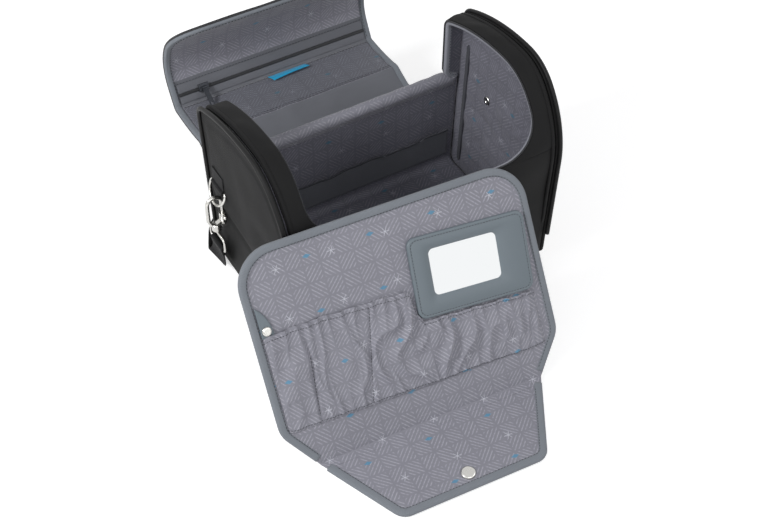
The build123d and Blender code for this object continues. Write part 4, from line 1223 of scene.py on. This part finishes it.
for line in divide:
    lift = lift * (1 - 0.92 * np.exp(-((u - line) / 2.4) ** 2))
ends = np.clip((u - POCKET_LEFT) / 6, 0, 1) * np.clip((POCKET_RIGHT - u) / 6, 0, 1)
lift = 0.5 + lift * ends * np.clip(v / 0.035, 0.15, 1)
elastic = np.exp(-((1 - v) * 100 / 5) ** 2)
lift = lift + 0.7 * elastic
places = on_board(u, w, lift)
cloth_width = float(np.linalg.norm(np.diff(places, axis=1), axis=2).sum(1).mean())
fullness = cloth_width / (POCKET_RIGHT - POCKET_LEFT)
gathered = sheet("gathered_pocket", places, np.stack((u * fullness, w), -1), 0.6, [satin_light], OUT)
sew(gathered, "organizer", "grey_print", "organizer_pocket")
lay(gathered)
for name, share in (("top", 0.955), ("foot", 0.03)):
    row = int(share * (POCKET_ROWS - 1))
    line = on_board(u[row], w[row], lift[row] + 0.25)
    seam = stitches(f"pocket_{name}_stitches", line, OUT, 3.2, 2.2, 0.28)
    sew(seam, "organizer", "grey_print")
for k, (low_u, low_w, high_u, high_w) in enumerate(((-120, 54, -114, 114), (-60, 46, -39, 143))):
    line = np.stack((np.linspace(low_u, high_u, 30), np.linspace(low_w, high_w, 30)), -1)
    seam = stitches(f"divider_stitches_{k}", on_board(line[:, 0], line[:, 1], 1.0), OUT, 3.2, 2.2, 0.28)
    sew(seam, "organizer", "grey_print")
print("pocket:", len(gathered.data.polygons), "faces, its cloth", round(fullness, 4), "times its width")

# %% [markdown]
# ## Fold of the organizer
# One printed cloth runs from the board over the fold onto the flap. It is drawn flat over the fold.

# %% Organizer fold
w = np.linspace(-9, 9, 26)
reach = np.where(w > 0, half_at(board_edge, w), half_at(flap_edge, -w)) - 0.8
u, w = reach[:, None] * np.linspace(-1, 1, 121)[None, :], w[:, None] + np.zeros((1, 121))
turn = ease((w + 4) / 8)[..., None]
places = on_flap(u, -w, 0.5) * (1 - turn) + on_board(u, w, 0.5) * turn
out = SKY * (1 - turn) + OUT * turn
crease = sheet("organizer_fold", places, np.stack((u, w), -1), 0.9, [satin_light], out)
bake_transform(crease)
lay(crease)
print("fold:", len(crease.data.polygons), "faces")

# %% [markdown]
# ## Mirror frame
# The frame is a vinyl-covered board: flat and stitched near its edge, then sloping down to
# the glass, which lies off its middle. It is drawn as rings from its outer edge in to the
# glass. Solidify gives them a thickness, and Subdivision Surface softens them.

# %% Mirror frame
mirror_turn = radians(-4.2)
MIRROR_X = U * cos(mirror_turn) + UP * sin(mirror_turn)
MIRROR_Y = UP * cos(mirror_turn) - U * sin(mirror_turn)
MIRROR_AT = on_board(84.0, 151.0, 0.0)


def on_mirror(a, b, lift):
    """Places on the mirror's plane."""
    a, b, lift = (np.asarray(k, float)[..., None] for k in np.broadcast_arrays(a, b, lift))
    return MIRROR_AT + a * MIRROR_X + b * MIRROR_Y + lift * OUT


def loop_of(width, height, corner, shift=(0, 0), steps=10):
    """A rounded rectangle as a closed ring of places."""
    w, h = width / 2, height / 2
    ring = []
    for quarter, (cx, cy) in enumerate(((w - corner, h - corner), (corner - w, h - corner),
                                        (corner - w, corner - h), (w - corner, corner - h))):
        for k in range(steps + 1):
            a = radians(90 * quarter + 90 * k / steps)
            ring.append((cx + shift[0] + corner * cos(a), cy + shift[1] + corner * sin(a)))
    return np.array(ring)


GLASS = (-6.0, 2.5)  # from the frame's middle to the glass's
# Width, height, corner radius, shift and lift of each ring
RINGS = [(139, 90, 10, (0, 0), 0.1), (139, 90, 10, (0, 0), 3.2), (137.6, 88.6, 9.4, (0, 0), 4.3),
         (133, 84, 8, (0, 0), 4.6), (131.6, 82.6, 7.6, (0, 0), 4.1), (130, 81, 7.2, (0, 0), 4.6),
         (112, 70, 8, (-1.5, 0.8), 5.3), (96, 62, 8, (-4, 1.8), 4.9), (84, 54, 7, GLASS, 3.2),
         (80.6, 51.6, 6.2, GLASS, 2.2), (80, 51, 6, GLASS, 1.75)]
rings =np.stack([on_mirror(*loop_of(a, b, c, d).T, lift) for a, b, c, d, lift in RINGS])
spread = np.stack([loop_of(a, b, c, d) for a, b, c, d, _ in RINGS])
surround = build("mirror_surround", rings, grid_faces(*rings.shape[:2], True), spread, [vinyl])
use(surround, "SOLIDIFY", thickness=0.9 * MM, offset=-1, use_even_offset=False)
use(surround, "SUBSURF", levels=1, render_levels=1)
face_outwards(surround)
sew(surround, "organizer", "grey_vinyl", "mirror_frame")
ring = loop_of(131.6, 82.6, 7.6)
ring = np.vstack([ring, ring[:1]])
frame_seam = stitches("mirror_stitches", on_mirror(ring[:, 0], ring[:, 1], 4.35), OUT, 3.4, 2.3, 0.3)
sew(frame_seam, "organizer", "grey_vinyl")
print("mirror surround:", len(surround.data.polygons), "faces")

# %% [markdown]
# ## Snap tab
# A vinyl tab with one curved side and a turned edge holds the small stud at the left. It is
# drawn as rings too, closed at its middle.

# %% Snap tab
outline = np.array([(-157.5, 151), (-143.5, 151), (-144.1, 158), (-145.6, 166), (-148.6, 173.5),
                    (-152.6, 180), (-157.5, 185)], float)
outline = resampled(np.vstack([outline, outline[:1]]), 1.4)[:-1]
outline = outline[:len(outline) // 2 * 2]  # the fan in the middle needs an even number
middle = outline.mean(0)
tab_rings = [middle + (outline - middle) * k for k in (1, 1, 0.93, 0.6, 0.3, 0.04)]
lifts = (0.6, 1.7, 2.2, 2.0, 2.0, 2.0)
places = np.stack([on_board(r[:, 0], r[:, 1], lift) for r, lift in zip(tab_rings, lifts)])
tab = closed_rings("snap_tab_vinyl", places[::-1], np.stack(tab_rings[::-1]), 0.4, [vinyl], OUT)
sew(tab, "organizer", "grey_vinyl", "snap_tab")
print("snap tab:", len(tab.data.polygons), "faces")

# %% [markdown]
# ## Metal parts and glass
# Rings, hooks, bolts, eyes, studs, the slider and the mirror's glass are hard and their solids
# are right, so they keep their shape and take the shiny finishes.

# %% Finishes of the solids
HARD = {"side_snaps": nickel, "tab_snap": nickel, "flap_snap": nickel, "pocket_slider": enamel,
        "slider_pull": enamel, "mirror_glass": silvered}
for side in ("left", "right"):
    for part in ("strap_eye", "d_ring", "hook", "hook_bolt"):
        HARD[f"{side}_{part}"] = nickel
for name, finish in HARD.items():
    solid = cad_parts[name]
    solid.data.materials.clear()
    solid.data.materials.append(finish)
print("hard solids:", len(HARD))

# %% [markdown]
# ## Floor and light
# A plain white floor keeps the bag's shadow, and looks white to the camera. Three soft lamps
# light it plainly, the strongest from the upper left.

# %% Floor and light
bpy.ops.mesh.primitive_plane_add(size=14, location=(0, 0, -0.0006))
floor = bpy.context.object
floor.name = "floor"
paint, tree, shader = material("white_floor", {"Roughness": 0.9, "Base Color": colour("#e9e9ea")})
speck = add(tree, "TexNoise", {}, add(tree, "TexCoord", {}).outputs["Object"], None, 60, 2)
tree.links.new(add(tree, "MapRange", {}, speck, 0, 1, 0.86, 0.94).outputs[0], shader.inputs["Roughness"])
rays = add(tree, "LightPath", {})
seen = add(tree, "Math", HIGH, rays.outputs["Is Camera Ray"], rays.outputs["Is Glossy Ray"])
glow = add(tree, "Emission", {}, (1, 1, 1, 1), 0.55)
both = add(tree, "AddShader", {}, shader, glow)
pick = add(tree, "MixShader", {}, seen, shader, both)
tree.links.new(pick.outputs[0], tree.nodes["Material Output"].inputs["Surface"])
floor.data.materials.append(paint)

world = bpy.data.worlds.new("studio")
scene.world = world
world.use_nodes = True
tree = world.node_tree
rays = add(tree, "LightPath", {})
seen = add(tree, "Math", HIGH, rays.outputs["Is Camera Ray"],
           add(tree, "Math", HIGH, rays.outputs["Is Glossy Ray"], rays.outputs["Is Transmission Ray"]))
plain = add(tree, "Background", {}, (1, 1, 1, 1), 0.3)
white = add(tree, "Background", {}, (1, 1, 1, 1), 1.0)
tree.links.new(add(tree, "MixShader", {}, seen, plain, white).outputs[0],
               tree.nodes["World Output"].inputs["Surface"])
# Place, aim and size in metres, and watts, of each lamp
LAMPS = [((-1.5, -0.1, 1.3), (0, -0.2, 0.1), 0.5, 22), ((1.3, -0.8, 1.2), (0, 0, 0.15), 1.0, 7),
         ((-0.2, -1.5, 1.3), (0, 0, 0.1), 1.3, 9)]
for place, aim, size, power in LAMPS:
    bpy.ops.object.light_add(type="AREA", location=place)
    lamp = bpy.context.object
    lamp.data.size, lamp.data.energy = size, power
    lamp.rotation_mode = "QUATERNION"
    lamp.rotation_quaternion = (Vector(aim) - Vector(place)).to_track_quat("-Z", "Y")
scene.view_settings.view_transform = "Standard"
print("lamps:", len(LAMPS))
